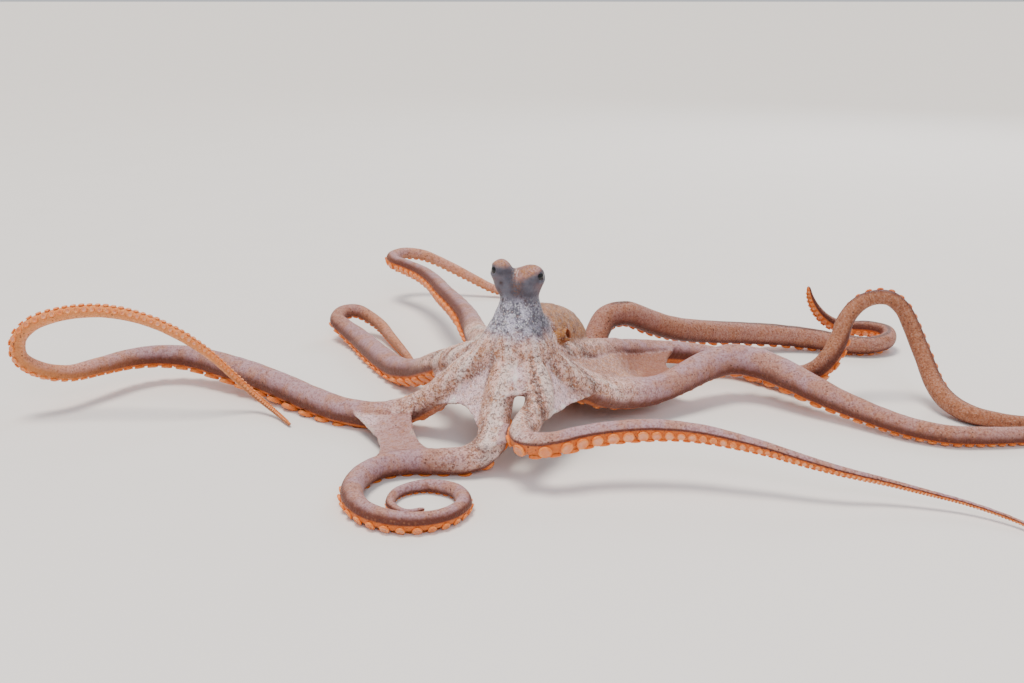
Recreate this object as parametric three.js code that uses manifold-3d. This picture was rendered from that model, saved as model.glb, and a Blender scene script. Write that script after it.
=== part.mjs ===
// A life-size Atlantic longarm octopus, sprawled on a flat floor with its eyes raised.
// Units are millimetres, +Z is up and the animal faces -Y. Z = 0 is the floor.
//
// The eight arms are lofted along hand-placed paths, the web is a thin sheet hung between
// each pair of neighbours, and the head, mantle and funnel are turned shapes. Each piece
// gives way to the ones before it by CUT_GAP, so that every piece is a closed solid of
// its own and none touches another.

import * as THREE from 'three';
import * as BufferGeometryUtils from 'three/addons/utils/BufferGeometryUtils.js';
import Module from 'manifold-3d';

const wasm = await Module();
wasm.setup();
const { Manifold, Mesh: SolidMesh } = wasm;

// ---------------------------------------------------------------- driving dimensions

const CUT_GAP = 0.3; // clear space at every cut between two pieces
const FLOOR_CUT = 0; // everything under this height is flattened off
const WEB_THICKNESS = 1.6;
const WEB_RISE = 0.62; // where the web meets an arm, as a share of its radius above centre
const SKIN_ALLOWANCE = 1.04; // an eight-sided section is drawn this much outside its circle
const MIN_PIECE_VOLUME = 1.0; // cubic millimetres; crumbs of a cut below this are dropped

// An arm's section: angle from the sucker side in degrees, and share of the radius there.
// The two rows of suckers stand proud on either side of the middle.
const ARM_SECTION = [
  [0, 1.0],
  [32, 1.2],
  [80, 1.0],
  [130, 1.0],
  [180, 1.0],
  [230, 1.0],
  [280, 1.0],
  [328, 1.2],
];
const RING_STEP_MAX = 14; // rings of a loft lie this far apart at most
const RING_TURN_MAX = 27; // and turn by this many degrees at most
const PATH_SAMPLES = 640;
const ROOT_REACH = 34; // out to here from the crown's axis, an arm is cut to a wedge beside its neighbours

// Each arm: its way points as [x, y, z, radius], the lengths at which it is divided, and
// how far its sucker side is turned about the arm, as [way point, degrees] steps.
// right_1 and left_1 are the front pair; the numbers run round to right_4 and left_4.
const ARMS = {
  arm_right_1: {
    path: [
      [-3, -9, 41, 6.0], [-7, -20, 32, 6.0], [-10, -29, 21.5, 5.9], [-13, -38, 12, 5.9],
      [-21, -45, 6.6, 5.7], [-34, -46, 5.8, 5.4], [-48, -46, 5.6, 5.3], [-60, -52, 5.4, 5.1],
      [-67, -66, 5.1, 4.9], [-66, -83, 4.8, 4.6], [-57, -97, 4.5, 4.3], [-42, -103, 4.2, 4.0],
      [-28, -98, 3.9, 3.7], [-21, -85, 3.6, 3.4], [-25, -71, 3.3, 3.1], [-38, -65, 2.9, 2.7],
      [-49, -71, 2.5, 2.3], [-51, -82, 2.1, 1.9], [-44, -89, 1.7, 1.5], [-37, -85, 1.3, 1.1],
    ],
    cuts: [50, 115, 175],
    turns: [[0, 0]],
  },
  arm_left_1: {
    path: [
      [4, -9, 41, 6.0], [9, -18, 35, 6.0], [10.5, -26, 28, 5.9], [7, -38, 23, 5.7],
      [2.5, -49, 20.5, 5.2], [5, -59, 20, 4.9], [15, -61, 20.5, 4.7], [28, -57, 22, 4.5],
      [42, -55, 23.5, 4.5], [60, -55, 24.5, 4.3], [78, -58, 24, 3.8], [91, -62, 22.5, 3.3],
      [105, -66, 20, 2.8], [119, -71, 17, 2.4], [135, -75, 13.5, 2.0], [151, -77, 10.2, 1.6],
      [167, -81, 7.2, 1.3], [182, -87, 5.0, 1.1], [196, -98, 3.2, 1.0], [207, -113, 2, 0.9],
      [221, -120, 1.3, 0.7],
    ],
    cuts: [46, 110, 190],
    turns: [[3, 0], [6, -48]],
  },
  arm_right_2: {
    path: [
      [-10, -4, 41, 6.2], [-21, -3, 35, 6.3], [-32, 0, 25, 6.4], [-43, 5, 15, 6.5],
      [-55, 9, 8.6, 6.6], [-68, 11, 6.6, 6.6], [-83, 17, 6.6, 6.6], [-99, 29, 7.4, 6.7],
      [-117, 45, 9, 6.8], [-137, 60, 11, 6.8], [-157, 73, 12.5, 6.6], [-176, 82, 14, 6.1],
      [-193, 82, 15, 5.5], [-206, 73, 16, 5.0], [-216, 57, 17, 4.4], [-227, 41, 18.5, 3.9],
      [-238, 34, 23, 3.8], [-245, 31, 30, 3.7], [-245, 32, 39, 3.6], [-238, 34, 46, 3.5],
      [-225, 37, 50, 3.3], [-209, 38, 51.5, 3.2], [-193, 37, 50, 3.0], [-178, 36, 45.5, 2.8],
      [-164, 35, 38.5, 2.6], [-152, 36, 29, 2.2], [-142, 36, 19, 1.9], [-131, 34, 9, 1.6],
      [-119, 25, 3, 1.2], [-109, 11, 1.4, 0.9],
    ],
    cuts: [58, 130, 210, 290, 380],
    turns: [[0, 0]],
  },
  arm_left_2: {
    path: [
      [10, -4, 41, 6.4], [20, -3, 33, 6.5], [31, 5, 24, 6.4], [44, 14, 16.5, 6.4],
      [58, 22, 13.5, 6.6], [72, 30, 13.5, 6.9], [86, 41, 16, 7.5], [100, 52, 19, 7.9],
      [113, 57, 20.5, 8.0], [126, 53, 19.5, 7.8], [138, 42, 17, 7.3], [149, 31, 13.5, 6.6],
      [161, 20, 10, 5.7], [173, 8, 7.8, 5.1], [186, -4, 6.3, 4.6], [201, -12, 5.6, 4.4],
      [219, -13, 5.2, 4.2], [238, -11, 4.9, 3.9], [255, -8, 4.6, 3.7], [272, -1, 4.2, 3.4],
      [287, 13, 3.8, 3.1], [297, 34, 3.3, 2.7], [300, 56, 2.9, 2.3], [299, 75, 2.4, 1.9],
      [295, 90, 1.9, 1.4], [292, 103, 1.4, 0.9],
    ],
    cuts: [48, 128, 210, 310],
    turns: [[0, 0]],
  },
  arm_right_3: {
    path: [
      [-10, 4, 41, 6.0], [-25, 14, 35, 6.1], [-40, 38, 23.5, 6.1], [-52, 61, 13, 6.3],
      [-63, 80, 8, 6.5], [-73, 100, 7, 6.6], [-83, 122, 6.8, 6.4], [-93, 143, 7.4, 5.9],
      [-102, 156, 9.5, 5.2], [-108, 164, 12.3, 4.6], [-106, 173, 14.5, 4.2],
      [-98, 177, 14.8, 3.9], [-89, 173, 11.5, 3.7], [-81, 164, 8.5, 3.4], [-74, 149, 5.8, 3.0],
      [-67, 133, 4, 2.6], [-61, 118, 2.8, 2.1], [-56, 104, 1.7, 1.4],
    ],
    cuts: [50, 120, 185],
    turns: [[0, 0], [3, 18], [9, 18]],
  },
  arm_left_3: {
    path: [
      [10, 4, 41, 6.0], [21, 15, 37, 6.0], [31, 31, 32.5, 6.0], [43, 51, 27, 6.0],
      [58, 70, 21.5, 6.1], [77, 86, 16, 6.2], [98, 94, 12, 6.2], [119, 92, 8.8, 6.1],
      [137, 76, 8, 6.0], [149, 60, 10, 5.8], [157, 52, 17, 5.5], [163, 52, 25, 5.2],
      [167.5, 56, 33, 4.8], [171, 60, 41, 4.4], [178, 64, 48, 4.1], [186, 65, 51.5, 3.9],
      [194, 64, 51.5, 3.9], [201, 63, 46, 4.1], [205, 60, 38, 4.3], [208, 56, 30, 4.4],
      [210.5, 50, 22, 4.5], [212.5, 42, 14, 4.7], [216, 30, 7.5, 4.9], [224, 16, 4.8, 4.5],
      [236, 9, 4.4, 3.7], [249, 7, 4.1, 3.2], [261, 14, 3.8, 2.8], [268, 28, 3.4, 2.4],
      [270, 43, 2.9, 2.0], [274, 56, 2.3, 1.6], [283, 61, 1.8, 1.1], [289, 55, 1.4, 0.8],
    ],
    cuts: [62, 142, 225, 305, 380],
    turns: [[8, 0], [12, 75], [15, 165], [22, 165]],
  },
  arm_right_4: {
    path: [
      [-4, 10, 41, 6.2], [-12, 25, 38, 6.2], [-18, 50, 34, 6.2], [-22, 78, 31.5, 6.1],
      [-26.5, 107, 30, 5.9], [-34, 140, 28.5, 5.6], [-43, 172, 27.5, 5.3], [-51, 202, 27, 5.0],
      [-61, 229, 26.5, 4.8], [-73, 249, 26.5, 4.6], [-82, 260, 27.3, 4.4],
      [-84, 271, 28.5, 4.1], [-76, 279, 29.3, 3.8], [-64, 279, 28, 3.6], [-53, 277, 24, 3.4],
      [-41, 275, 18.5, 3.3], [-28, 272, 12.3, 3.1], [-15, 269, 6.3, 2.9], [-3, 264, 3.6, 2.4],
      [4, 254, 2.5, 2.0], [4, 242, 1.9, 1.5], [0, 233, 1.4, 1.0],
    ],
    cuts: [52, 140, 230, 310],
    turns: [[1, 0], [4, 40], [9, 40]],
  },
  arm_left_4: {
    path: [
      [4, 10, 41, 6.2], [12, 20, 29, 6.4], [22, 36, 14, 6.5], [33, 55, 8, 6.6],
      [40, 73, 9, 6.6], [43, 86, 16, 6.6], [46, 95, 25, 6.6], [51, 101, 31, 6.7],
      [62, 103, 33, 6.7], [75, 108, 27, 6.7], [91, 116, 20.5, 6.6], [111, 127, 15.5, 6.5],
      [136, 138, 11.5, 6.4], [158, 142, 9, 6.2], [178, 139, 7.4, 5.9], [194, 132, 6.4, 5.4],
      [208, 130, 6.4, 5.0], [219, 136, 7.6, 4.8], [222, 147, 9, 4.6], [214, 155, 9.6, 4.4],
      [203, 157, 9.6, 4.1], [194, 156, 11.5, 3.7], [186, 154, 16.5, 3.3], [180, 152, 23, 2.8],
      [176, 150, 30, 2.1], [174, 149, 37, 1.1],
    ],
    cuts: [48, 110, 190, 280],
    turns: [[0, 0]],
  },
};

// The order of the arms round the mouth, starting at the front and going by the right.
const ROUND_THE_MOUTH = [
  'arm_right_1', 'arm_right_2', 'arm_right_3', 'arm_right_4',
  'arm_left_4', 'arm_left_3', 'arm_left_2', 'arm_left_1',
];

// Each web sheet: the two arms it hangs between, the stretch of each that it joins, how
// far its free edge is drawn in towards the head, and how far its middle hangs down.
const WEBS = [
  { name: 'web_front', arms: ['arm_left_1', 'arm_right_1'], from: [4, 4], to: [24, 24], bow: 2, sag: -1 },
  { name: 'web_right_1_2', arms: ['arm_right_1', 'arm_right_2'], from: [5, 5], to: [47, 50], bow: 19, sag: 3 },
  { name: 'web_right_2_3', arms: ['arm_right_2', 'arm_right_3'], from: [5, 5], to: [42, 50], bow: 8, sag: 4 },
  { name: 'web_right_3_4', arms: ['arm_right_3', 'arm_right_4'], from: [5, 5], to: [36, 46], bow: 9, sag: 4 },
  { name: 'web_back', arms: ['arm_right_4', 'arm_left_4'], from: [5, 5], to: [46, 42], bow: 10, sag: 2 },
  { name: 'web_left_3_4', arms: ['arm_left_4', 'arm_left_3'], from: [5, 5], to: [62, 66], bow: 12, sag: 3 },
  { name: 'web_left_2_3', arms: ['arm_left_3', 'arm_left_2'], from: [5, 5], to: [124, 112], bow: 18, sag: 6 },
  { name: 'web_left_1_2', arms: ['arm_left_2', 'arm_left_1'], from: [5, 5], to: [44, 47], bow: 9, sag: 2 },
  { name: 'web_curtain', arms: ['arm_right_2', 'arm_right_1'], from: [52, 70], to: [78, 90], bow: 5, sag: 2 },
];
const WEB_ROWS = 8;
const WEB_COLUMNS = 6;

// The head is a column turned from this [radius, height] profile, with an eye bulge on
// each side of its top.
const COLUMN_PROFILE = [
  [0, 33.5], [5, 33.2], [9.5, 35], [13.5, 40.5], [18.5, 45.5], [18, 48], [15.6, 52.4],
  [11.8, 60], [9.4, 67], [8.6, 72.5], [6, 77], [0, 78.5],
];
const COLUMN_CENTRE = [1.5, 0.5];
const COLUMN_LEAN = 0.03; // shift along +X for each millimetre of height over the crown
const COLUMN_SIDES = 16;
const CROWN_HEIGHT = 46;
const EYE_BULGES = [
  { centre: [6.4, -0.8, 76.2], size: [6.5, 6.4, 8.3], lean: 12 },
  { centre: [-5.5, 0.6, 77.4], size: [4.8, 5.6, 8.9], lean: -5 },
];
const EYES = {
  eye_left: { centre: [8.8, -2.5, 78.4], radius: 4.2 },
  eye_right: { centre: [-6.5, -0.5, 81.1], radius: 4.2 },
};

// The mantle is turned from this [radius, length along its axis] profile.
const MANTLE_START = [7, 8, 50];
const MANTLE_END = [31, 80, 22];
const MANTLE_PROFILE = [
  [0, 0], [8.8, 0.02], [10.8, 0.08], [14.2, 0.2], [16.3, 0.34], [16.9, 0.46], [15.8, 0.6],
  [13.2, 0.74], [9.2, 0.87], [4.6, 0.96], [0, 1],
];
const MANTLE_SIDES = 16;

// The funnel is a short cone with a hole, which looks out from under the mantle's edge.
const FUNNEL_START = [12, 16, 42];
const FUNNEL_END = [25.5, 8, 48.5];
const FUNNEL_RADII = [5, 3.1];
const FUNNEL_BORE = 1.9;
const FUNNEL_BORE_DEPTH = 5;

const COLOURS = {
  arm: { color: '#b18f80', roughness: 0.45 },
  web: { color: '#cdb8b0', roughness: 0.55 },
  head: { color: '#a59ea6', roughness: 0.5 },
  mantle: { color: '#bd9a6c', roughness: 0.45 },
  eye: { color: '#1d2128', roughness: 0.08 },
};

// ---------------------------------------------------------------- small helpers

const vec = (a) => new THREE.Vector3(a[0], a[1], a[2]);
const radians = THREE.MathUtils.degToRad;
const mix = (a, b, share) => a + (b - a) * share;

// A closed solid from a three.js geometry whose seams are still open.
function solidFromGeometry(geometry) {
  geometry.deleteAttribute('normal');
  geometry.deleteAttribute('uv');
  const merged = BufferGeometryUtils.mergeVertices(geometry, 1e-4);
  const mesh = new SolidMesh({
    numProp: 3,
    vertProperties: new Float32Array(merged.attributes.position.array),
    triVerts: new Uint32Array(merged.index.array),
  });
  mesh.merge();
  return new Manifold(mesh);
}

// A closed solid from lists of points and of triangles.
function solidFromLists(points, triangles) {
  return new Manifold(new SolidMesh({
    numProp: 3,
    vertProperties: new Float32Array(points.flatMap((p) => [p.x, p.y, p.z])),
    triVerts: new Uint32Array(triangles.flat()),
  }));
}

// A shape turned about +Z from a profile that starts and ends on the axis.
function turned(profile, sides) {
  const points = profile.map(([radius, height]) => new THREE.Vector2(radius, height));
  const geometry = new THREE.LatheGeometry(points, sides);
  geometry.rotateX(Math.PI / 2);
  return geometry;
}

// Stands a geometry that runs along +Z from the origin on start, pointing to end.
function aim(geometry, start, end) {
  const direction = vec(end).sub(vec(start)).normalize();
  const turn = new THREE.Quaternion().setFromUnitVectors(new THREE.Vector3(0, 0, 1), direction);
  geometry.applyQuaternion(turn);
  geometry.translate(...start);
  return geometry;
}

function withoutCrumbs(solid) {
  const lumps = solid.decompose().filter((lump) => lump.volume() > MIN_PIECE_VOLUME);
  lumps.sort((a, b) => b.volume() - a.volume());
  return lumps[0];
}

// ---------------------------------------------------------------- arms

// Walks an arm's path and carries its sucker side along it without twist, then adds the
// arm's own turns. at(length) gives the place, direction, sucker side and radius there.
function armPath({ path, turns }) {
  const curve = new THREE.CatmullRomCurve3(path.map(vec), false, 'centripetal');
  const lastPoint = path.length - 1;
  const samples = [];
  let oral = new THREE.Vector3(0, 0, -1);
  let length = 0;
  for (let i = 0; i <= PATH_SAMPLES; i += 1) {
    const along = i / PATH_SAMPLES;
    const place = curve.getPoint(along);
    const before = curve.getPoint(Math.max(0, along - 1 / PATH_SAMPLES));
    const after = curve.getPoint(Math.min(1, along + 1 / PATH_SAMPLES));
    const tangent = after.sub(before).normalize();
    oral = oral.clone().addScaledVector(tangent, -oral.dot(tangent)).normalize();
    if (i > 0) length += place.distanceTo(samples[i - 1].place);
    const wayPoint = along * lastPoint;
    const index = Math.min(lastPoint - 1, Math.floor(wayPoint));
    const radius = mix(path[index][3], path[index + 1][3], wayPoint - index);
    const side = oral.clone().applyAxisAngle(tangent, radians(turnAt(turns, wayPoint)));
    samples.push({ length, place, tangent, oral: side, radius });
  }
  const at = (wanted) => {
    let i = samples.findIndex((sample) => sample.length >= wanted);
    if (i < 0) i = samples.length - 1;
    if (i === 0) i = 1;
    const low = samples[i - 1];
    const high = samples[i];
    const share = Math.min(1, (wanted - low.length) / (high.length - low.length));
    return {
      place: low.place.clone().lerp(high.place, share),
      tangent: low.tangent.clone().lerp(high.tangent, share).normalize(),
      oral: low.oral.clone().lerp(high.oral, share).normalize(),
      radius: mix(low.radius, high.radius, share),
    };
  };
  return { length, at };
}

// The turn in degrees at a way point, run in straight steps between the stated ones.
function turnAt(turns, wayPoint) {
  let [lowPoint, lowTurn] = turns[0];
  for (const [point, turn] of turns) {
    if (wayPoint < point) {
      const share = (wayPoint - lowPoint) / (point - lowPoint);
      return mix(lowTurn, turn, THREE.MathUtils.clamp(share, 0, 1));
    }
    [lowPoint, lowTurn] = [point, turn];
  }
  return lowTurn;
}

// Lengths at which a loft needs a ring: close together in a bend, far apart on a straight.
function ringLengths(arm, start, end) {
  const lengths = [start];
  let last = arm.at(start);
  let lastLength = start;
  for (let s = start + 1; s < end - 1; s += 1) {
    const here = arm.at(s);
    const turn = THREE.MathUtils.radToDeg(here.tangent.angleTo(last.tangent));
    const twist = THREE.MathUtils.radToDeg(here.oral.angleTo(last.oral));
    if (s - lastLength >= RING_STEP_MAX || Math.max(turn, twist) >= RING_TURN_MAX) {
      lengths.push(s);
      last = here;
      lastLength = s;
    }
  }
  lengths.push(end);
  return lengths;
}

// The rings of each length that an arm is divided into.
function dividedRings(arm, cuts) {
  const ends = [0, ...cuts, arm.length];
  return ends.slice(1).map((end, i) => {
    const start = i === 0 ? 0 : ends[i] + CUT_GAP / 2;
    return ringLengths(arm, start, end === arm.length ? end : end - CUT_GAP / 2);
  });
}

// A stretch of an arm as a closed solid through the given rings, its section drawn
// outwards by grow.
function armSolid(arm, rings, grow = 0) {
  const sides = ARM_SECTION.length;
  const points = [];
  const triangles = [];
  rings.forEach((length) => {
    const { place, tangent, oral, radius } = arm.at(length);
    const across = tangent.clone().cross(oral);
    for (const [degrees, share] of ARM_SECTION) {
      const angle = radians(degrees);
      const reach = radius * share * SKIN_ALLOWANCE + grow;
      points.push(place.clone()
        .addScaledVector(oral, Math.cos(angle) * reach)
        .addScaledVector(across, Math.sin(angle) * reach));
    }
  });
  for (let ring = 0; ring < rings.length - 1; ring += 1) {
    for (let side = 0; side < sides; side += 1) {
      const next = (side + 1) % sides;
      const a = ring * sides + side;
      const b = ring * sides + next;
      triangles.push([a, b, a + sides], [b, b + sides, a + sides]);
    }
  }
  const last = (rings.length - 1) * sides;
  for (let side = 1; side < sides - 1; side += 1) {
    triangles.push([0, side + 1, side], [last, last + side, last + side + 1]);
  }
  return solidFromLists(points, triangles);
}

// ---------------------------------------------------------------- web

// A point of the web sheet between two arms: across runs 0 to 1 from the first arm to the
// second, and out runs 0 to 1 from the head to the free edge.
function webPoint(web, paths, across, out) {
  const ends = web.arms.map((name, i) => {
    const drawnIn = web.bow * Math.sin(Math.PI * across);
    const length = mix(web.from[i], web.to[i] - drawnIn, out);
    const { place, oral, radius } = paths[name].at(length);
    return place.addScaledVector(oral, -radius * WEB_RISE);
  });
  const point = ends[0].lerp(ends[1], across);
  point.z -= web.sag * Math.sin(Math.PI * across);
  return point;
}

function webSolid(web, paths) {
  const grid = [];
  for (let row = 0; row <= WEB_ROWS; row += 1) {
    grid.push([]);
    for (let column = 0; column <= WEB_COLUMNS; column += 1) {
      grid[row].push(webPoint(web, paths, column / WEB_COLUMNS, row / WEB_ROWS));
    }
  }
  const count = (WEB_ROWS + 1) * (WEB_COLUMNS + 1);
  const upper = [];
  const lower = [];
  grid.forEach((line, row) => line.forEach((point, column) => {
    const outwards = grid[Math.min(row + 1, WEB_ROWS)][column].clone()
      .sub(grid[Math.max(row - 1, 0)][column]);
    const sideways = line[Math.min(column + 1, WEB_COLUMNS)].clone()
      .sub(line[Math.max(column - 1, 0)]);
    const normal = outwards.cross(sideways).normalize();
    upper.push(point.clone().addScaledVector(normal, WEB_THICKNESS / 2));
    lower.push(point.clone().addScaledVector(normal, -WEB_THICKNESS / 2));
  }));
  const triangles = [];
  const at = (row, column) => row * (WEB_COLUMNS + 1) + column;
  for (let row = 0; row < WEB_ROWS; row += 1) {
    for (let column = 0; column < WEB_COLUMNS; column += 1) {
      const [a, b] = [at(row, column), at(row + 1, column)];
      triangles.push([a, b, b + 1], [a, b + 1, a + 1]);
      triangles.push([count + a, count + b + 1, count + b], [count + a, count + a + 1, count + b + 1]);
    }
  }
  const rim = [];
  for (let row = 0; row < WEB_ROWS; row += 1) rim.push(at(row, 0));
  for (let column = 0; column < WEB_COLUMNS; column += 1) rim.push(at(WEB_ROWS, column));
  for (let row = WEB_ROWS; row > 0; row -= 1) rim.push(at(row, WEB_COLUMNS));
  for (let column = WEB_COLUMNS; column > 0; column -= 1) rim.push(at(0, column));
  rim.forEach((a, i) => {
    const b = rim[(i + 1) % rim.length];
    triangles.push([a, count + a, count + b], [a, count + b, b]);
  });
  return solidFromLists([...upper, ...lower], triangles);
}

// ---------------------------------------------------------------- head, mantle, funnel

function headSolid(grow = 0) {
  const profile = COLUMN_PROFILE.map(([radius, height], i) => {
    const raised = i < 2 ? height - grow : height;
    return [radius === 0 ? 0 : radius + grow, raised];
  });
  const column = solidFromGeometry(turned(profile, COLUMN_SIDES))
    .warp((point) => {
      point[0] += COLUMN_CENTRE[0] + (point[2] - CROWN_HEIGHT) * COLUMN_LEAN;
      point[1] += COLUMN_CENTRE[1];
    });
  const bulges = EYE_BULGES.map(({ centre, size, lean }) => {
    const ball = new THREE.SphereGeometry(1, 14, 10);
    ball.rotateX(Math.PI / 2);
    ball.scale(size[0] + grow, size[1] + grow, size[2] + grow);
    ball.rotateY(radians(lean));
    ball.translate(...centre);
    return solidFromGeometry(ball);
  });
  return Manifold.union([column, ...bulges]);
}

function eyeSolid({ centre, radius }, grow = 0) {
  const ball = new THREE.SphereGeometry(radius + grow, 12, 8);
  ball.translate(...centre);
  return solidFromGeometry(ball);
}

function mantleSolid(grow = 0) {
  const length = vec(MANTLE_START).distanceTo(vec(MANTLE_END));
  const profile = MANTLE_PROFILE.map(([radius, share]) => {
    const along = share * length + (share === 0 ? -grow : share === 1 ? grow : 0);
    return [radius === 0 ? 0 : radius + grow, along];
  });
  return solidFromGeometry(aim(turned(profile, MANTLE_SIDES), MANTLE_START, MANTLE_END));
}

function funnelSolid(grow = 0) {
  const length = vec(FUNNEL_START).distanceTo(vec(FUNNEL_END));
  const [back, front] = FUNNEL_RADII;
  const cone = [[0, 0], [back + grow, 0], [front + grow, length], [0, length]];
  const body = solidFromGeometry(aim(turned(cone, 12), FUNNEL_START, FUNNEL_END));
  if (grow > 0) return body;
  const reach = length + 1;
  const bore = [[0, length - FUNNEL_BORE_DEPTH], [FUNNEL_BORE, length - FUNNEL_BORE_DEPTH],
    [FUNNEL_BORE, reach], [0, reach]];
  return body.subtract(solidFromGeometry(aim(turned(bore, 10), FUNNEL_START, FUNNEL_END)));
}

// ---------------------------------------------------------------- assembly

const materials = Object.fromEntries(Object.entries(COLOURS).map(([name, look]) => [
  name, new THREE.MeshStandardMaterial({ name, metalness: 0, ...look }),
]));

function node(name, solid, material) {
  const lump = withoutCrumbs(solid.trimByPlane([0, 0, 1], FLOOR_CUT).simplify(0.04));
  const mesh = lump.getMesh();
  const geometry = new THREE.BufferGeometry();
  geometry.setAttribute('position', new THREE.BufferAttribute(new Float32Array(mesh.vertProperties), 3));
  geometry.setIndex(new THREE.BufferAttribute(new Uint32Array(mesh.triVerts), 1));
  geometry.computeVertexNormals();
  const made = new THREE.Mesh(geometry, materials[material]);
  made.name = name;
  return made;
}

// Upright room for an arm: near the mouth it is the wedge between the arm's neighbours,
// and from ROOT_REACH on it opens wide.
function rootRoom(paths, name) {
  const place = ROUND_THE_MOUTH.indexOf(name);
  const count = ROUND_THE_MOUTH.length;
  const angleOf = (other) => {
    const root = paths[ROUND_THE_MOUTH[(other + count) % count]].at(ROOT_REACH / 2).place;
    return Math.atan2(root.y, root.x);
  };
  const middle = angleOf(place);
  const edges = [-1, 1].map((step) => {
    const between = angleOf(place - step) - middle;
    return middle + Math.atan2(Math.sin(between), Math.cos(between)) / 2;
  });
  const polar = (angle, reach) => new THREE.Vector2(Math.cos(angle), Math.sin(angle))
    .multiplyScalar(reach);
  const apex = polar(middle, CUT_GAP / 2 / Math.sin(Math.abs(edges[1] - edges[0]) / 2));
  const outline = [
    new THREE.Vector2(0, 0),
    polar(edges[0], ROOT_REACH),
    polar(edges[0] - 0.6, 300),
    polar(middle, 600),
    polar(edges[1] + 0.6, 300),
    polar(edges[1], ROOT_REACH),
  ].map((point) => point.add(apex));
  const room = new THREE.ExtrudeGeometry(new THREE.Shape(outline), { depth: 100, bevelEnabled: false });
  room.translate(0, 0, -20);
  return solidFromGeometry(room);
}

function armPieces(name, paths, headRoom) {
  const arm = paths[name];
  const stretches = dividedRings(arm, ARMS[name].cuts);
  return stretches.map((rings, i) => {
    let solid = armSolid(arm, rings);
    if (i === 0) solid = solid.intersect(rootRoom(paths, name)).subtract(headRoom);
    const tag = i === 0 ? 'base' : i === stretches.length - 1 ? 'tip' : `length_${i + 1}`;
    return node(`${name}_${tag}`, solid, 'arm');
  });
}

function buildOctopus() {
  const octopus = new THREE.Group();
  octopus.name = 'longarm_octopus';
  const paths = Object.fromEntries(Object.entries(ARMS).map(([name, arm]) => [name, armPath(arm)]));

  const eyeRooms = Object.values(EYES).map((eye) => eyeSolid(eye, CUT_GAP));
  for (const [name, eye] of Object.entries(EYES)) {
    octopus.add(node(name, eyeSolid(eye), 'eye'));
  }
  octopus.add(node('head', headSolid().subtract(Manifold.union(eyeRooms)), 'head'));

  const headRoom = headSolid(CUT_GAP);
  const armRooms = ROUND_THE_MOUTH.map((name) => {
    const rings = dividedRings(paths[name], ARMS[name].cuts).flat();
    return armSolid(paths[name], rings, CUT_GAP);
  });
  for (const name of ROUND_THE_MOUTH) {
    octopus.add(...armPieces(name, paths, headRoom));
  }

  const mantle = mantleSolid().subtract(Manifold.union([headRoom, ...armRooms]));
  octopus.add(node('mantle', mantle, 'mantle'));
  const mantleRoom = mantleSolid(CUT_GAP);

  const funnel = funnelSolid().subtract(Manifold.union([headRoom, mantleRoom, ...armRooms]));
  octopus.add(node('funnel', funnel, 'mantle'));
  const funnelRoom = funnelSolid(CUT_GAP);

  const rooms = Manifold.union([headRoom, mantleRoom, funnelRoom, ...armRooms]);
  for (const web of WEBS) {
    octopus.add(node(web.name, webSolid(web, paths).subtract(rooms), 'web'));
  }

  // The part's origin is the middle of its box, on the floor.
  const box = new THREE.Box3().setFromObject(octopus);
  const middle = box.getCenter(new THREE.Vector3());
  octopus.position.set(-middle.x, -middle.y, 0);
  return octopus;
}

export default buildOctopus();
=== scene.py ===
"""Looks of a life-size Atlantic longarm octopus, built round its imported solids.

One skin is grown over the head, the mantle, the funnel, the web and the arms, from the same
named sizes as the solids. Suckers, one mesh for each arm, and the two eyes are separate.
Sizes in the tables are millimetres in the octopus's own layout, whose zero is the point of
the floor under the crown of the arms; the meshes are metres in the frame.
"""

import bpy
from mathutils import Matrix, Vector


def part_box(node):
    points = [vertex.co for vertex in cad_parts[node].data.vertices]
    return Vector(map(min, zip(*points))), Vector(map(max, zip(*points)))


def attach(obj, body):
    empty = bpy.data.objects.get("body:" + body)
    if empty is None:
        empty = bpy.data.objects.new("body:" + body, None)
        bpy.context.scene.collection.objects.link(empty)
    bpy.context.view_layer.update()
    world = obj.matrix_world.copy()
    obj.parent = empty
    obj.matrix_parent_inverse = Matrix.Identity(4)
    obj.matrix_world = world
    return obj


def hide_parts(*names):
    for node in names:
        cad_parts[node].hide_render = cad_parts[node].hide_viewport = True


bl_info = {
    "name": "Longarm octopus",
    "version": (1, 0, 0),
    "blender": (4, 5, 0),
    "location": "3D View > Sidebar > Octopus",
    "description": "Builds the skin, suckers, eyes and studio of a sprawled longarm octopus",
    "category": "Add Mesh",
}

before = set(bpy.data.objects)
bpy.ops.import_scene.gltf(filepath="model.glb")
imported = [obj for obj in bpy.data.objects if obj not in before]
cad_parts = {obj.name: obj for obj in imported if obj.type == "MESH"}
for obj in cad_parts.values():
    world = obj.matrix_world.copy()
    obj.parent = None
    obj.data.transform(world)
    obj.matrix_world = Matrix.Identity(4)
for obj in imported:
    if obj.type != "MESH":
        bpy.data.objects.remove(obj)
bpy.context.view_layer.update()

import math

import bpy
import openvdb
import numpy as np
from mathutils import Matrix, Vector, kdtree, noise

MM = 0.001

# ---- the animal's layout, mm

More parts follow.
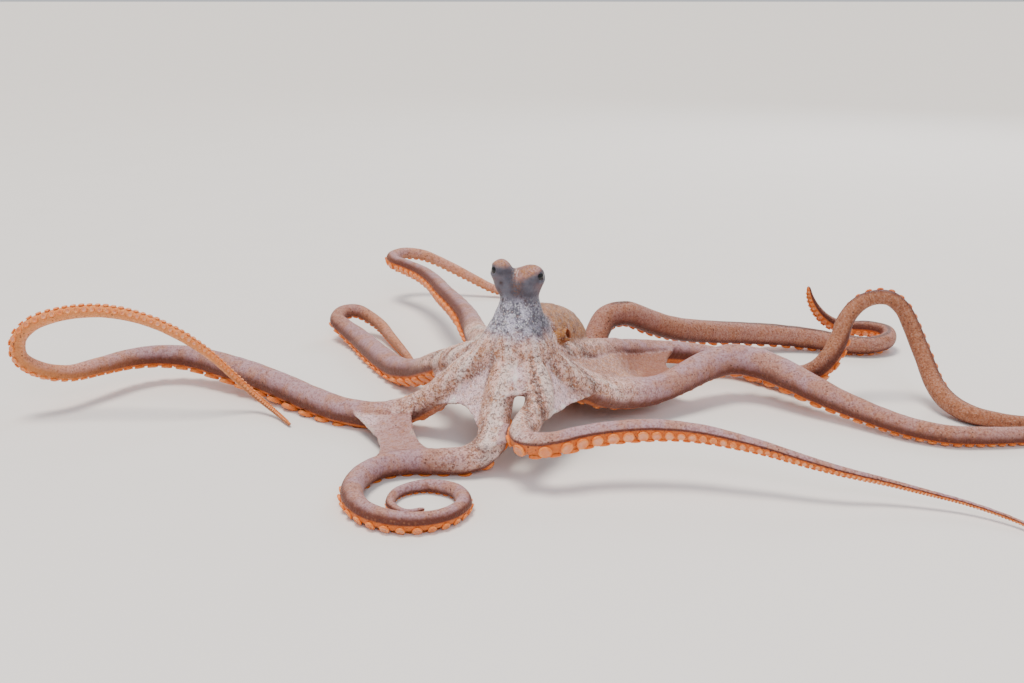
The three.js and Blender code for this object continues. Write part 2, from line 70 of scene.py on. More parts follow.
# Each arm: way points [x, y, z, radius of the flesh] and the turns of its sucker side, as
# (way point, degrees) steps.
ARMS = {
    "arm_right_1": {"turns": [(0, 0)], "path": [
        (-3, -9, 41, 6), (-6, -20, 32, 6.1), (-8.3, -29, 21.5, 6.2), (-11, -38, 12, 6.3),
        (-19.5, -45, 6.8, 6), (-34, -46, 5.8, 5.4), (-48, -46, 5.6, 5.3), (-60, -52, 5.4, 5.1),
        (-67, -66, 5.1, 4.9), (-66, -83, 4.8, 4.6), (-57, -97, 4.5, 4.3), (-42, -103, 4.2, 4),
        (-28, -98, 3.9, 3.7), (-21, -85, 3.6, 3.4), (-25, -71, 3.3, 3.1), (-38, -65, 2.9, 2.7),
        (-49, -71, 2.5, 2.3), (-51, -82, 2.1, 1.9), (-44, -89, 1.7, 1.5), (-37, -85, 1.3, 1.1),
    ]},
    "arm_left_1": {"turns": [(3, 0), (6, -48)], "path": [
        (4, -9, 41, 6), (9, -18, 35, 6), (10.5, -26, 28, 5.9), (7, -38, 23, 5.7),
        (2.5, -49, 20.5, 5.2), (5, -59, 20, 4.9), (15, -61, 20.5, 4.7), (28, -57, 22, 4.5),
        (42, -55, 23.5, 4.5), (60, -55, 24.5, 4.3), (78, -58, 24, 3.8), (91, -62, 22.5, 3.3),
        (105, -66, 20, 2.8), (119, -71, 17, 2.4), (135, -75, 13.5, 2), (151, -77, 10.2, 1.6),
        (167, -81, 7.2, 1.3), (182, -87, 5, 1.1), (196, -98, 3.2, 1), (207, -113, 2, 0.9),
        (221, -120, 1.3, 0.7),
    ]},
    "arm_right_2": {"turns": [(0, 0)], "path": [
        (-10, -4, 41, 6.2), (-21, -3, 35, 6.3), (-32, 0, 25, 6.4), (-43, 5, 15, 6.5),
        (-55, 9, 8.6, 6.6), (-68, 11, 6.6, 6.6), (-83, 17, 6.6, 6.6), (-99, 29, 7.4, 6.7),
        (-117, 45, 9, 6.8), (-137, 60, 11, 6.8), (-157, 73, 12.5, 6.6), (-176, 82, 14, 6.1),
        (-193, 82, 15, 5.5), (-206, 73, 16, 5), (-216, 57, 17, 4.4), (-227, 41, 18.5, 3.9),
        (-238, 34, 23, 3.8), (-245, 31, 30, 3.7), (-245, 32, 39, 3.6), (-238, 34, 46, 3.5),
        (-225, 37, 50, 3.3), (-209, 38, 51.5, 3.2), (-193, 37, 50, 3), (-178, 36, 45.5, 2.8),
        (-164, 35, 38.5, 2.6), (-152, 36, 29, 2.2), (-142, 36, 19, 1.9), (-131, 34, 9, 1.6),
        (-119, 25, 3, 1.2), (-109, 11, 1.4, 0.9),
    ]},
    "arm_left_2": {"turns": [(0, 0)], "path": [
        (10, -4, 41, 6.4), (20, -3, 33, 6.5), (31, 5, 24, 6.4), (44, 14, 16.5, 6.4),
        (58, 22, 13.5, 6.6), (72, 30, 13.5, 6.9), (86, 41, 16, 7.5), (100, 52, 19, 7.9),
        (113, 57, 20.5, 8), (126, 53, 19.5, 7.8), (138, 42, 17, 7.3), (149, 31, 13.5, 6.6),
        (161, 20, 10, 5.7), (173, 8, 7.8, 5.1), (186, -4, 6.3, 4.6), (201, -12, 5.6, 4.4),
        (219, -13, 5.2, 4.2), (238, -11, 4.9, 3.9), (255, -8, 4.6, 3.7), (272, -1, 4.2, 3.4),
        (287, 13, 3.8, 3.1), (297, 34, 3.3, 2.7), (300, 56, 2.9, 2.3), (299, 75, 2.4, 1.9),
        (295, 90, 1.9, 1.4), (292, 103, 1.4, 0.9),
    ]},
    "arm_right_3": {"turns": [(0, 0), (3, 18), (9, 18)], "path": [
        (-10, 4, 41, 6), (-25, 14, 35, 6.1), (-40, 38, 23.5, 6.1), (-52, 61, 13, 6.3),
        (-63, 80, 8, 6.5), (-73, 100, 7, 6.6), (-83, 122, 6.8, 6.4), (-93, 143, 7.4, 5.9),
        (-102, 156, 9.5, 5.2), (-108, 164, 12.3, 4.6), (-106, 173, 14.5, 4.2),
        (-98, 177, 14.8, 3.9), (-89, 173, 11.5, 3.7), (-81, 164, 8.5, 3.4), (-74, 149, 5.8, 3),
        (-67, 133, 4, 2.6), (-61, 118, 2.8, 2.1), (-56, 104, 1.7, 1.4),
    ]},
    "arm_left_3": {"turns": [(8, 0), (12, 75), (15, 165), (22, 165)], "path": [
        (10, 4, 41, 6), (21, 15, 37, 6), (31, 31, 32.5, 6), (43, 51, 27, 6), (58, 70, 21.5, 6.1),
        (77, 86, 16, 6.2), (98, 94, 12, 6.2), (119, 92, 8.8, 6.1), (137, 76, 8, 6),
        (149, 60, 10, 5.8), (157, 52, 17, 5.5), (163, 52, 25, 5.2), (167.5, 56, 33, 4.8),
        (171, 60, 41, 4.4), (178, 64, 48, 4.1), (186, 65, 51.5, 3.9), (194, 64, 51.5, 3.9),
        (201, 63, 46, 4.1), (205, 60, 38, 4.3), (208, 56, 30, 4.4), (210.5, 50, 22, 4.5),
        (212.5, 42, 14, 4.7), (216, 30, 7.5, 4.9), (224, 16, 4.8, 4.5), (236, 9, 4.4, 3.7),
        (249, 7, 4.1, 3.2), (261, 14, 3.8, 2.8), (268, 28, 3.4, 2.4), (270, 43, 2.9, 2),
        (274, 56, 2.3, 1.6), (283, 61, 1.8, 1.1), (289, 55, 1.4, 0.8),
    ]},
    "arm_right_4": {"turns": [(1, 0), (4, 40), (9, 40)], "path": [
        (-4, 10, 41, 6.2), (-12, 25, 38, 6.2), (-18, 50, 34, 6.2), (-22, 78, 31.5, 6.1),
        (-26.5, 107, 30, 5.9), (-34, 140, 28.5, 5.6), (-43, 172, 27.5, 5.3), (-51, 202, 27, 5),
        (-61, 229, 26.5, 4.8), (-73, 249, 26.5, 4.6), (-82, 260, 27.3, 4.4), (-84, 271, 28.5, 4.1),
        (-76, 279, 29.3, 3.8), (-64, 279, 28, 3.6), (-53, 277, 24, 3.4), (-41, 275, 18.5, 3.3),
        (-28, 272, 12.3, 3.1), (-15, 269, 6.3, 2.9), (-3, 264, 3.6, 2.4), (4, 254, 2.5, 2),
        (4, 242, 1.9, 1.5), (0, 233, 1.4, 1),
    ]},
    "arm_left_4": {"turns": [(0, 0)], "path": [
        (4, 10, 41, 6.2), (12, 20, 29, 6.4), (22, 36, 14, 6.5), (33, 55, 8, 6.6), (40, 73, 9, 6.6),
        (43, 86, 16, 6.6), (46, 95, 25, 6.6), (51, 101, 31, 6.7), (62, 103, 33, 6.7),
        (75, 108, 27, 6.7), (91, 116, 20.5, 6.6), (111, 127, 15.5, 6.5), (136, 138, 11.5, 6.4),
        (158, 142, 9, 6.2), (178, 139, 7.4, 5.9), (194, 132, 6.4, 5.4), (208, 130, 6.4, 5),
        (219, 136, 7.6, 4.8), (222, 147, 9, 4.6), (214, 155, 9.6, 4.4), (203, 157, 9.6, 4.1),
        (194, 156, 11.5, 3.7), (186, 154, 16.5, 3.3), (180, 152, 23, 2.8), (176, 150, 30, 2.1),
        (174, 149, 37, 1.1),
    ]},
}

# Each web sheet: its two arms, the stretch of each that it joins, how far its free edge is
# drawn in towards the head, and how far its middle hangs down. One sheet is taut for a share
# of its length before it hangs; a sheet away from the crown has a second edge, scooped out.
WEBS = [
    {"arms": ("arm_left_1", "arm_right_1"), "from": (4, 4), "to": (24, 24), "bow": 2, "sag": -1},
    {"arms": ("arm_right_1", "arm_right_2"), "from": (5, 5), "to": (47, 50), "bow": 19, "sag": 3},
    {"arms": ("arm_right_2", "arm_right_3"), "from": (5, 5), "to": (42, 50), "bow": 8, "sag": 4},
    {"arms": ("arm_right_3", "arm_right_4"), "from": (5, 5), "to": (36, 46), "bow": 9, "sag": 4},
    {"arms": ("arm_right_4", "arm_left_4"), "from": (5, 5), "to": (46, 42), "bow": 10, "sag": 2},
    {"arms": ("arm_left_4", "arm_left_3"), "from": (5, 5), "to": (62, 66), "bow": 12, "sag": 3},
    {"arms": ("arm_left_3", "arm_left_2"), "from": (5, 5), "to": (124, 112), "bow": 18, "sag": 6,
     "taut": 0.56},
    {"arms": ("arm_left_2", "arm_left_1"), "from": (5, 5), "to": (45, 47), "bow": 7, "sag": 2},
    {"arms": ("arm_right_2", "arm_right_1"), "from": (50, 68), "to": (86, 96), "bow": 9, "sag": 3,
     "scoop": 6},
    {"arms": ("arm_left_1", "arm_right_1"), "from": (43, 35), "to": (57, 53), "bow": 3, "sag": 0,
     "scoop": 2},
]
WEB_RISE = 0.62  # where the web meets an arm, as a share of its radius above the centre

# [radius, height] of the head's column, and its eye bulges as centre, half sizes and lean.
COLUMN_PROFILE = [
    (0, 34), (6, 34), (11, 36), (15, 40.5), (17.8, 45), (17.6, 48), (15.4, 52.4), (13.3, 56),
    (11.5, 60), (10.1, 63.5), (9.1, 67), (8.5, 70), (8.1, 73), (7.5, 76), (6.3, 79), (3.8, 81.2),
    (0, 82),
]
COLUMN_CENTRE = (1.5, 0.5)
COLUMN_LEAN = 0.03
CROWN_HEIGHT = 46
EYE_BULGES = [
    {"centre": (6.4, -0.8, 76.0), "size": (6.3, 6.2, 7.8), "lean": 12},
    {"centre": (-5.5, 0.6, 77.4), "size": (4.6, 5.4, 8.5), "lean": -5},
]
EYES = {
    "eye_left": {"centre": (8.8, -2.5, 78.4), "gaze": (0.86, -0.46, 0.2)},
    "eye_right": {"centre": (-6.5, -0.5, 81.1), "gaze": (-0.93, -0.3, 0.16)},
}

MANTLE_START = (7, 8, 50)
MANTLE_END = (31, 80, 22)
MANTLE_PROFILE = [
    (0, 0), (8.6, 0.02), (11.2, 0.06), (12.6, 0.12), (14.2, 0.2), (15.6, 0.28), (16.4, 0.37),
    (16.6, 0.46), (16.0, 0.56), (14.6, 0.66), (12.4, 0.77), (9.4, 0.87), (5.4, 0.955), (0, 1),
]
FUNNEL_START = (12, 16, 42)
FUNNEL_END = (25.5, 8, 48.5)
FUNNEL_RADII = (5.0, 3.0)
FUNNEL_BORE = 2.2
FUNNEL_BORE_DEPTH = 5

# How much thicker than the ball a lid stands, and the widths of the opening between the lids.
LID_STAND = 0.75
LID_OPENING = (0.82, 0.48)
# Where an eyeball's front begins to stand out, and how far it does, as shares of its radius.
CORNEA_START = 0.7
CORNEA_BULGE = 0.07

# The skin's grid, and the part of it with the head, mantle, funnel and the arms' roots.
GRID_MARGIN = 11
GRID_HEIGHTS = (-3, 92)
CORE_BOX = ((-60, -60, 8), (72, 102, 92))
ROOT_LENGTH = 75
WEB_TILE = 0.8
WEB_TILE_STEP = 0.9

# Lengths between which an arm's skin passes from the form of its root or web to its section.
ROOT_END = (48, 66)
WEB_END = {"arm_left_2": (126, 140), "arm_left_3": (126, 140), "arm_right_2": (86, 96),
           "arm_right_1": (94, 104)}
SKIN_TRIANGLES = 196000
WRINKLE_STEP = 1.9

SUCKER_ENDS = (12, 3)  # the stretches without suckers at an arm's root and tip
SUCKER_ROW_ANGLE = 30
SUCKER_HEIGHT = 0.62
SUCKER_FOOT = 0.955  # where a sucker's foot sits, as a share of the arm's radius
# Degrees by which an arm's suckers turn round it, as (length, degrees) steps.
SUCKER_TURN = {
    "arm_left_1": [(48, 0), (66, 30)],
    "arm_right_2": [(58, -72), (95, 0), (270, 0), (320, 32)],
    "arm_left_2": [(70, 50), (90, 28), (130, 28), (190, 0)],
    "arm_left_3": [(145, 75), (175, 0)],
}
# Suckers larger and wider apart than the arm's thickness gives, as (length, share) steps.
SUCKER_SPREAD = {
    "arm_left_1": [(40, 0.7), (60, 1.08), (90, 1.08), (125, 0.84), (200, 0.9)],
    "arm_right_4": [(60, 1), (110, 1.45), (230, 1.45), (280, 1)],
    "arm_right_2": [(90, 1), (115, 1.3), (190, 1.3), (250, 1)],
    "arm_left_3": [(60, 1), (85, 0.6), (145, 0.6), (175, 1)],
    "arm_left_2": [(60, 1), (78, 0.65), (125, 0.65), (145, 1)],
    "arm_left_4": [(90, 1), (110, 0.65), (170, 0.65), (200, 1)],
}

# The camera's place, and how many degrees it looks down.
CAMERA_PLACE = (-1.4, -513, 199)
CAMERA_PITCH = 16.5
FLOOR_WIDTH = 600  # metres, so that its edge lies on the horizon

# ---- settings


def linear(hex_colour):
    """A '#rrggbb' sRGB colour as four linear numbers."""
    shades = [int(hex_colour[i:i + 2], 16) / 255 for i in (1, 3, 5)]
    return [s / 12.92 if s <= 0.04045 else ((s + 0.055) / 1.055) ** 2.4 for s in shades] + [1.0]


def colour_setting(name, description, hex_colour):
    return bpy.props.FloatVectorProperty(
        name=name, description=description, subtype="COLOR", size=4, min=0, max=1,
        default=linear(hex_colour))


def length_setting(name, description, metres, least=0.0, most=1.0):
    return bpy.props.FloatProperty(
        name=name, description=description, default=metres, min=least, max=most,
        unit="LENGTH", subtype="DISTANCE", precision=5)


def share_setting(name, description, value, least=0.0, most=4.0):
    return bpy.props.FloatProperty(
        name=name, description=description, default=value, min=least, max=most, subtype="FACTOR")


class OctopusSizes(bpy.types.PropertyGroup):
    """Sizes of the octopus that a user may change."""

    voxel: length_setting(
        "Skin grain", "Grid step that the skin is grown on", 0.0008, 0.0005, 0.002)
    web_thickness: length_setting("Web thickness", "Thickness of the web between the arms", 0.0015)
    root_blend: length_setting("Root blend", "How softly the arms flow into the head", 0.006)
    sucker_share: share_setting("Sucker size", "Sucker radius as a share of the arm's", 0.46)
    sucker_pitch: share_setting(
        "Sucker spacing", "Step of a sucker row as a share of the arm's radius", 1.22)
    eye_radius: length_setting("Eye radius", "Radius of an eyeball", 0.0042)
    lens: bpy.props.FloatProperty(
        name="Lens", description="Focal length of the camera, in millimetres", default=40.43,
        min=10, max=200, unit="CAMERA")


class OctopusColours(bpy.types.PropertyGroup):
    """Colours of the octopus that a user may change."""

    arm_back: colour_setting("Arm back", "Lilac of the arms' upper side", "#b08a90")
    arm_blush: colour_setting("Arm blush", "Pink-brown clouds on the arms' upper side", "#b07e6f")
    # the flanks' dark brown is partly the arms' own colour and partly painted shade
    arm_side: colour_setting("Arm side", "Flanks of the arms", "#5f2a19")
    arm_warm: colour_setting("Arm warm side", "Flesh next to the suckers", "#d8722c")
    arm_ruddy: colour_setting("Arm ruddy", "Tan-brown far stretches of the arms", "#a26642")
    arm_return: colour_setting("Arm return", "Warm thin stretches of the arms", "#ec9755")
    crown: colour_setting("Crown", "Tent of skin round the head's foot", "#efbfb0")
    crown_tan: colour_setting("Crown tan", "Tan clouds on the crown", "#bd7f55")
    # crown shade also paints the shade in the crown's grooves
    crown_dark: colour_setting("Crown shade", "Dark grains on the crown", "#5a3830")
    web: colour_setting("Web", "Thin web between the arms", "#f4d2d8")
    # the web's own orange-brown underside, and also painted shade under the webs and inside the
    # funnel's bore
    deep: colour_setting("Web underside", "Orange-brown hidden side of the web", "#8a4a2c")
    neck: colour_setting("Neck", "Blue-grey foot of the head", "#c9c4d8")
    frost: colour_setting("Frost", "White grains on the head's foot", "#f8f8ff")
    head: colour_setting("Head", "Grey sides of the head", "#65646f")
    # head shade also paints the shade on the neck's right side
    head_dark: colour_setting("Head shade", "Dark grains and clouds of the head", "#46434d")
    brow: colour_setting("Brow", "Warm top of the eye bulges", "#a97d77")
    brow_tan: colour_setting("Brow tan", "Tan clouds on the eye bulges", "#a0683f")
    mantle: colour_setting("Mantle", "Mantle's back", "#ab7440")
    # mantle shade also paints the shade in the head's cleft
    mantle_dark: colour_setting("Mantle shade", "Clouds on the mantle, cleft's streaks", "#76492a")
    # speck also paints the shade in the head's creases
    speck: colour_setting("Speck", "Small dark pigment spots", "#3a211d")
    grain: colour_setting("Grain", "White grains of the crown", "#fff3ef")
    sucker: colour_setting("Sucker", "Body of a sucker", "#df7a34")
    # the suckers' pale faces are partly a painted highlight
    sucker_face: colour_setting("Sucker face", "Pale inner face of a sucker", "#f6cdb8")
    iris: colour_setting("Iris", "Dark blue iris", "#1f2b45")
    pupil: colour_setting("Pupil", "Pupil and the head's darkest specks", "#050609")
    floor: colour_setting("Floor", "Studio floor", "#eceae7")


# ---- shared helpers


def layout_shift():
    """Where the layout's zero lies in the frame, in mm, from the left eye's solid."""
    low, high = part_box("eye_left")
    return np.array((low + high) / 2) / MM - np.array(EYES["eye_left"]["centre"], float)


SHIFT = layout_shift()


def to_frame(points):
    """Layout millimetres as frame metres."""
    return (np.asarray(points, float) + SHIFT) * MM


def unit(vector):
    vector = np.asarray(vector, float)
    return vector / np.linalg.norm(vector, axis=-1, keepdims=True)


def smoothstep(low, high, value):
    share = np.clip((value - low) / (high - low), 0, 1)
    return share * share * (3 - 2 * share)


def hump(value, middle, width):
    """1 at the middle, falling off smoothly on both sides."""
    return np.exp(-((value - middle) / width) ** 2)


def deselect_all():
    if bpy.context.object and bpy.context.object.mode != "OBJECT":
        bpy.ops.object.mode_set(mode="OBJECT")
    bpy.ops.object.select_all(action="DESELECT")


def select_only(piece):
    deselect_all()
    piece.select_set(True)
    bpy.context.view_layer.objects.active = piece


def new_object(name, data):
    """A new object in the scene."""
    made = bpy.data.objects.new(name, data)
    bpy.context.scene.collection.objects.link(made)
    return made


def mesh_piece(name, points, faces):
    """A new object from layout points in mm and lists of faces."""
    mesh = bpy.data.meshes.new(name)
    mesh.from_pydata([tuple(p) for p in to_frame(points)], [], [tuple(map(int, f)) for f in faces])
    mesh.update()
    return new_object(name, mesh)


def face_outwards(piece):
    """Turns a piece's faces so that their normals point outwards."""
    select_only(piece)
    bpy.ops.object.mode_set(mode="EDIT")
    bpy.ops.mesh.select_all(action="SELECT")
    bpy.ops.mesh.normals_make_consistent(inside=False)
    bpy.ops.object.mode_set(mode="OBJECT")


def points_of(piece):
    flat = np.zeros(len(piece.data.vertices) * 3, np.float32)
    piece.data.vertices.foreach_get("co", flat)
    return flat.reshape(-1, 3).astype(float) / MM - SHIFT


def set_points(piece, points):
    piece.data.vertices.foreach_set("co", to_frame(points).astype(np.float32).ravel())
    piece.data.update()


def normals_of(piece):
    flat = np.zeros(len(piece.data.vertices) * 3, np.float32)
    piece.data.vertices.foreach_get("normal", flat)
    return flat.reshape(-1, 3)


def store(piece, name, values, kind="FLOAT"):
    """Keeps one number, or one vector, for each point of a piece for its material to read."""
    attribute = piece.data.attributes.new(name, kind, "POINT")
    key = "vector" if kind == "FLOAT_VECTOR" else "value"
    attribute.data.foreach_set(key, np.asarray(values, np.float32).ravel())


def node(tree, kind, settings=None, inputs=None):
    """Adds a node with its settings; an input is a plain value or another node's output."""
    made = tree.nodes.new(kind)
    for key, value in (settings or {}).items():
        setattr(made, key, value)
    for key, value in (inputs or {}).items():
        if isinstance(value, bpy.types.NodeSocket):
            tree.links.new(value, made.inputs[key])
        else:
            made.inputs[key].default_value = value
    return made


# ---- arm lines


class ArmLine:
    """An arm's centre line, with its direction, sucker side and radius along its length."""

    SAMPLES = 1200

    def __init__(self, path, turns):
        way = np.array(path, float)
        count = len(way)
        along = np.linspace(0, 1, self.SAMPLES)
        self.place = self._curve(way[:, :3], along)
        before = self._curve(way[:, :3], np.clip(along - 1 / self.SAMPLES, 0, 1))
        after = self._curve(way[:, :3], np.clip(along + 1 / self.SAMPLES, 0, 1))
        self.tangent = unit(after - before)
        steps = np.linalg.norm(np.diff(self.place, axis=0), axis=1)
        self.length = np.concatenate([[0], np.cumsum(steps)])
        self.total = self.length[-1]
        way_point = along * (count - 1)
        radius = np.interp(way_point, np.arange(count), way[:, 3])
        self.radius = self._smoothed(radius, 4.0)
        turn = np.radians(self._smoothed(np.interp(way_point, *zip(*turns)), 5.0))
        oral = np.array([0.0, 0.0, -1.0])
        self.oral = np.zeros_like(self.place)
        for i, direction in enumerate(self.tangent):
            oral = unit(oral - direction * oral.dot(direction))
            self.oral[i] = (oral * math.cos(turn[i])
                            + np.cross(direction, oral) * math.sin(turn[i]))
        self.across = np.cross(self.tangent, self.oral)

    @staticmethod
    def _curve(way, along):
        """Centripetal Catmull-Rom through the way points."""
        last = len(way) - 1
        padded = np.vstack([2 * way[0] - way[1], way, 2 * way[-1] - way[-2]])
        index = np.minimum((along * last).astype(int), last - 1)
        w = (along * last - index)[:, None]
        p0, p1, p2, p3 = (padded[index + i] for i in range(4))
        gap = [np.linalg.norm(b - a, axis=1, keepdims=True) ** 0.5
               for a, b in ((p0, p1), (p1, p2), (p2, p3))]
        t1 = ((p1 - p0) / gap[0] - (p2 - p0) / (gap[0] + gap[1]) + (p2 - p1) / gap[1]) * gap[1]
        t2 = ((p2 - p1) / gap[1] - (p3 - p1) / (gap[1] + gap[2]) + (p3 - p2) / gap[2]) * gap[1]
        return (p1 + t1 * w + (-3 * p1 + 3 * p2 - 2 * t1 - t2) * w ** 2
                + (2 * p1 - 2 * p2 + t1 + t2) * w ** 3)

    def _smoothed(self, values, width):
        """Values averaged over a stretch of the arm of about the given width in mm."""
        step = self.total / self.SAMPLES
        reach = max(1, int(width / step))
        kernel = np.hanning(2 * reach + 3)[1:-1]
        padded = np.pad(values, reach, mode="edge")
        return np.convolve(padded, kernel / kernel.sum(), mode="valid")

    def at(self, lengths):
        """Place, tangent, sucker side, across and radius at some lengths along the arm."""
        lengths = np.asarray(lengths, float)

        def read(table):
            return np.stack([np.interp(lengths, self.length, table[:, i]) for i in range(3)], -1)

        return (read(self.place), unit(read(self.tangent)), unit(read(self.oral)),
                unit(read(self.across)), np.interp(lengths, self.length, self.radius))


LINES = {name: ArmLine(arm["path"], arm["turns"]) for name, arm in ARMS.items()}
ARM_NAMES = list(ARMS)


def section_share(angle):
    """An arm's section: its radius as a share, by angle in radians from the sucker side."""
    from_oral = np.degrees(np.abs(np.arctan2(np.sin(angle), np.cos(angle))))
    groove = -0.05 * np.exp(-((from_oral / 16) ** 2))
    sucker_ridge = 0.03 * np.exp(-(((from_oral - 33) / 15) ** 2))
    return 1 + groove + sucker_ridge


# ---- skin, as a distance field


class Field:
    """Distances in mm from a skin, negative inside it, on an upright grid."""

    FAR = 6.0

    def __init__(self, low, shape, step):
        self.low = low
        self.step = step
        self.values = np.full(shape, self.FAR, np.float32)

    def block(self, low, high):
        """The part of the grid in a box, as slices and as open coordinate arrays."""
        first = np.maximum(np.floor((low - self.low) / self.step).astype(int), 0)
        last = np.ceil((high - self.low) / self.step).astype(int) + 1
        last = np.minimum(last, self.values.shape)
        slices = tuple(slice(a, max(a, b)) for a, b in zip(first, last))
        axes = [self.low[i] + self.step * np.arange(s.start, s.stop, dtype=np.float32)
                for i, s in enumerate(slices)]
        return slices, np.meshgrid(*axes, indexing="ij", sparse=True)

    def add_balls(self, places, radii, band):
        """Joins a chain of balls."""
        for place, radius in zip(places, radii):
            slices, (x, y, z) = self.block(place - radius - band, place + radius + band)
            gap = np.sqrt((x - place[0]) ** 2 + (y - place[1]) ** 2 + (z - place[2]) ** 2) - radius
            np.minimum(self.values[slices], gap, out=self.values[slices])

    def add_tiles(self, places, normals, halves, tile):
        """Joins small flat tiles that lie close together, each as thick as twice its half."""
        reach = max(halves.max(), tile) + 2.2
        for place, normal, half in zip(places, normals, halves):
            slices, (x, y, z) = self.block(place - reach, place + reach)
            dx, dy, dz = x - place[0], y - place[1], z - place[2]
            off = np.abs(dx * normal[0] + dy * normal[1] + dz * normal[2])
            side = np.sqrt(np.maximum(dx * dx + dy * dy + dz * dz - off * off, 0))
            beyond = np.maximum(side - tile, 0)
            gap = np.sqrt(beyond ** 2 + np.maximum(off - half + 0.5, 0) ** 2) - 0.5
            gap = np.where((beyond == 0) & (off < half - 0.5), off - half, gap)
            np.minimum(self.values[slices], gap, out=self.values[slices])


def blended(a, b, reach):
    """The join of two distance fields, rounded over about the given reach."""
    reach = np.maximum(reach, 1e-3)
    share = np.maximum(reach - np.abs(a - b), 0) / reach
    return np.minimum(a, b) - share * share * reach / 4


def turned_distance(profile, radius, height):
    """Distance to a shape turned from (radius, height) points, negative inside."""
    nearest = np.full(np.broadcast(radius, height).shape, 1e9, np.float32)
    inside = np.zeros(nearest.shape, bool)
    for (r0, h0), (r1, h1) in zip(profile, profile[1:]):
        dr, dh = r1 - r0, h1 - h0
        share = np.clip(((radius - r0) * dr + (height - h0) * dh) / (dr * dr + dh * dh), 0, 1)
        gap = np.hypot(radius - r0 - share * dr, height - h0 - share * dh)
        nearest = np.minimum(nearest, gap)
        if h0 != h1:
            crosses = ((height >= min(h0, h1)) & (height < max(h0, h1))
                       & (radius < r0 + (height - h0) * dr / dh))
            inside ^= crosses
    return np.where(inside, -nearest, nearest)


def smooth_profile(points, count):
    """A profile's points drawn closer together along a smooth line."""
    way = np.column_stack([np.array(points, float), np.zeros(len(points))])
    return ArmLine._curve(way, np.linspace(0, 1, count))[:, :2]


def axis_coordinates(x, y, z, start, end):
    """Distance from an axis, and place along it from its start, both in mm."""
    start = np.array(start, float)
    direction = unit(np.array(end, float) - start)
    dx, dy, dz = x - start[0], y - start[1], z - start[2]
    along = dx * direction[0] + dy * direction[1] + dz * direction[2]
    off = np.sqrt(np.maximum(dx * dx + dy * dy + dz * dz - along * along, 0))
    return off, along


def egg_distance(x, y, z, centre, size, lean):
    """Distance to an egg shape that leans about Y by some degrees."""
    dx, dy, dz = x - centre[0], y - centre[1], z - centre[2]
    c, s = math.cos(math.radians(lean)), math.sin(math.radians(lean))
    dx, dz = dx * c - dz * s, dx * s + dz * c
    inner = np.sqrt((dx / size[0]) ** 2 + (dy / size[1]) ** 2 + (dz / size[2]) ** 2)
    outer = np.sqrt((dx / size[0] ** 2) ** 2 + (dy / size[1] ** 2) ** 2 + (dz / size[2] ** 2) ** 2)
    return inner * (inner - 1) / np.maximum(outer, 1e-6)


def head_distance(x, y, z):
    """The head's column with its two eye bulges."""
    centre_x = COLUMN_CENTRE[0] + (z - CROWN_HEIGHT) * COLUMN_LEAN
    off = np.hypot(x - centre_x, y - COLUMN_CENTRE[1])
    head = turned_distance(smooth_profile(COLUMN_PROFILE, 40), off, z + 0 * off)
    for bulge in EYE_BULGES:
        egg = egg_distance(x, y, z, bulge["centre"], bulge["size"], bulge["lean"])
        head = blended(head, egg, 2.5)
    return head


def mantle_distance(x, y, z):
    """Distance to the mantle's sac."""
    off, along = axis_coordinates(x, y, z, MANTLE_START, MANTLE_END)
    length = np.linalg.norm(np.subtract(MANTLE_END, MANTLE_START))
    profile = smooth_profile([(r, share * length) for r, share in MANTLE_PROFILE], 44)
    return turned_distance(profile, off, along)


def funnel_distances(x, y, z):
    """The funnel's cone, and the bore in its mouth."""
    off, along = axis_coordinates(x, y, z, FUNNEL_START, FUNNEL_END)
    length = np.linalg.norm(np.subtract(FUNNEL_END, FUNNEL_START))
    back, front = FUNNEL_RADII
    cone = turned_distance([(0, 0), (back, 0), (front, length), (0, length)], off, along)
    foot, mouth = length - FUNNEL_BORE_DEPTH, length + 3
    bore = turned_distance(
        [(0, foot), (FUNNEL_BORE, foot), (FUNNEL_BORE, mouth), (0, mouth)], off, along)
    return cone, bore


def eye_openings(body, x, y, z, eye_radius):
    """Gives each eye its lids: a thin cover over the ball, with a lens-shaped opening."""
    for eye in EYES.values():
        centre = np.array(eye["centre"], float)
        gaze = unit(eye["gaze"])
        side = unit(np.cross((0, 0, 1), gaze))
        up = np.cross(gaze, side)
        q = [x - centre[0], y - centre[1], z - centre[2]]
        reach = np.sqrt(q[0] ** 2 + q[1] ** 2 + q[2] ** 2)
        ahead, sideways, upward = (q[0] * d[0] + q[1] * d[1] + q[2] * d[2]
                                   for d in (gaze, side, up))
        cover = reach - (eye_radius + LID_STAND)
        body = blended(body, cover, 1.6)
        wide, tall = LID_OPENING
        cone = np.sqrt((sideways / wide) ** 2 + (upward / tall) ** 2) - ahead
        cone = np.maximum(cone * 0.55, (eye_radius - 0.9) - reach)
        body = -blended(-body, cone, 0.7)
    return body


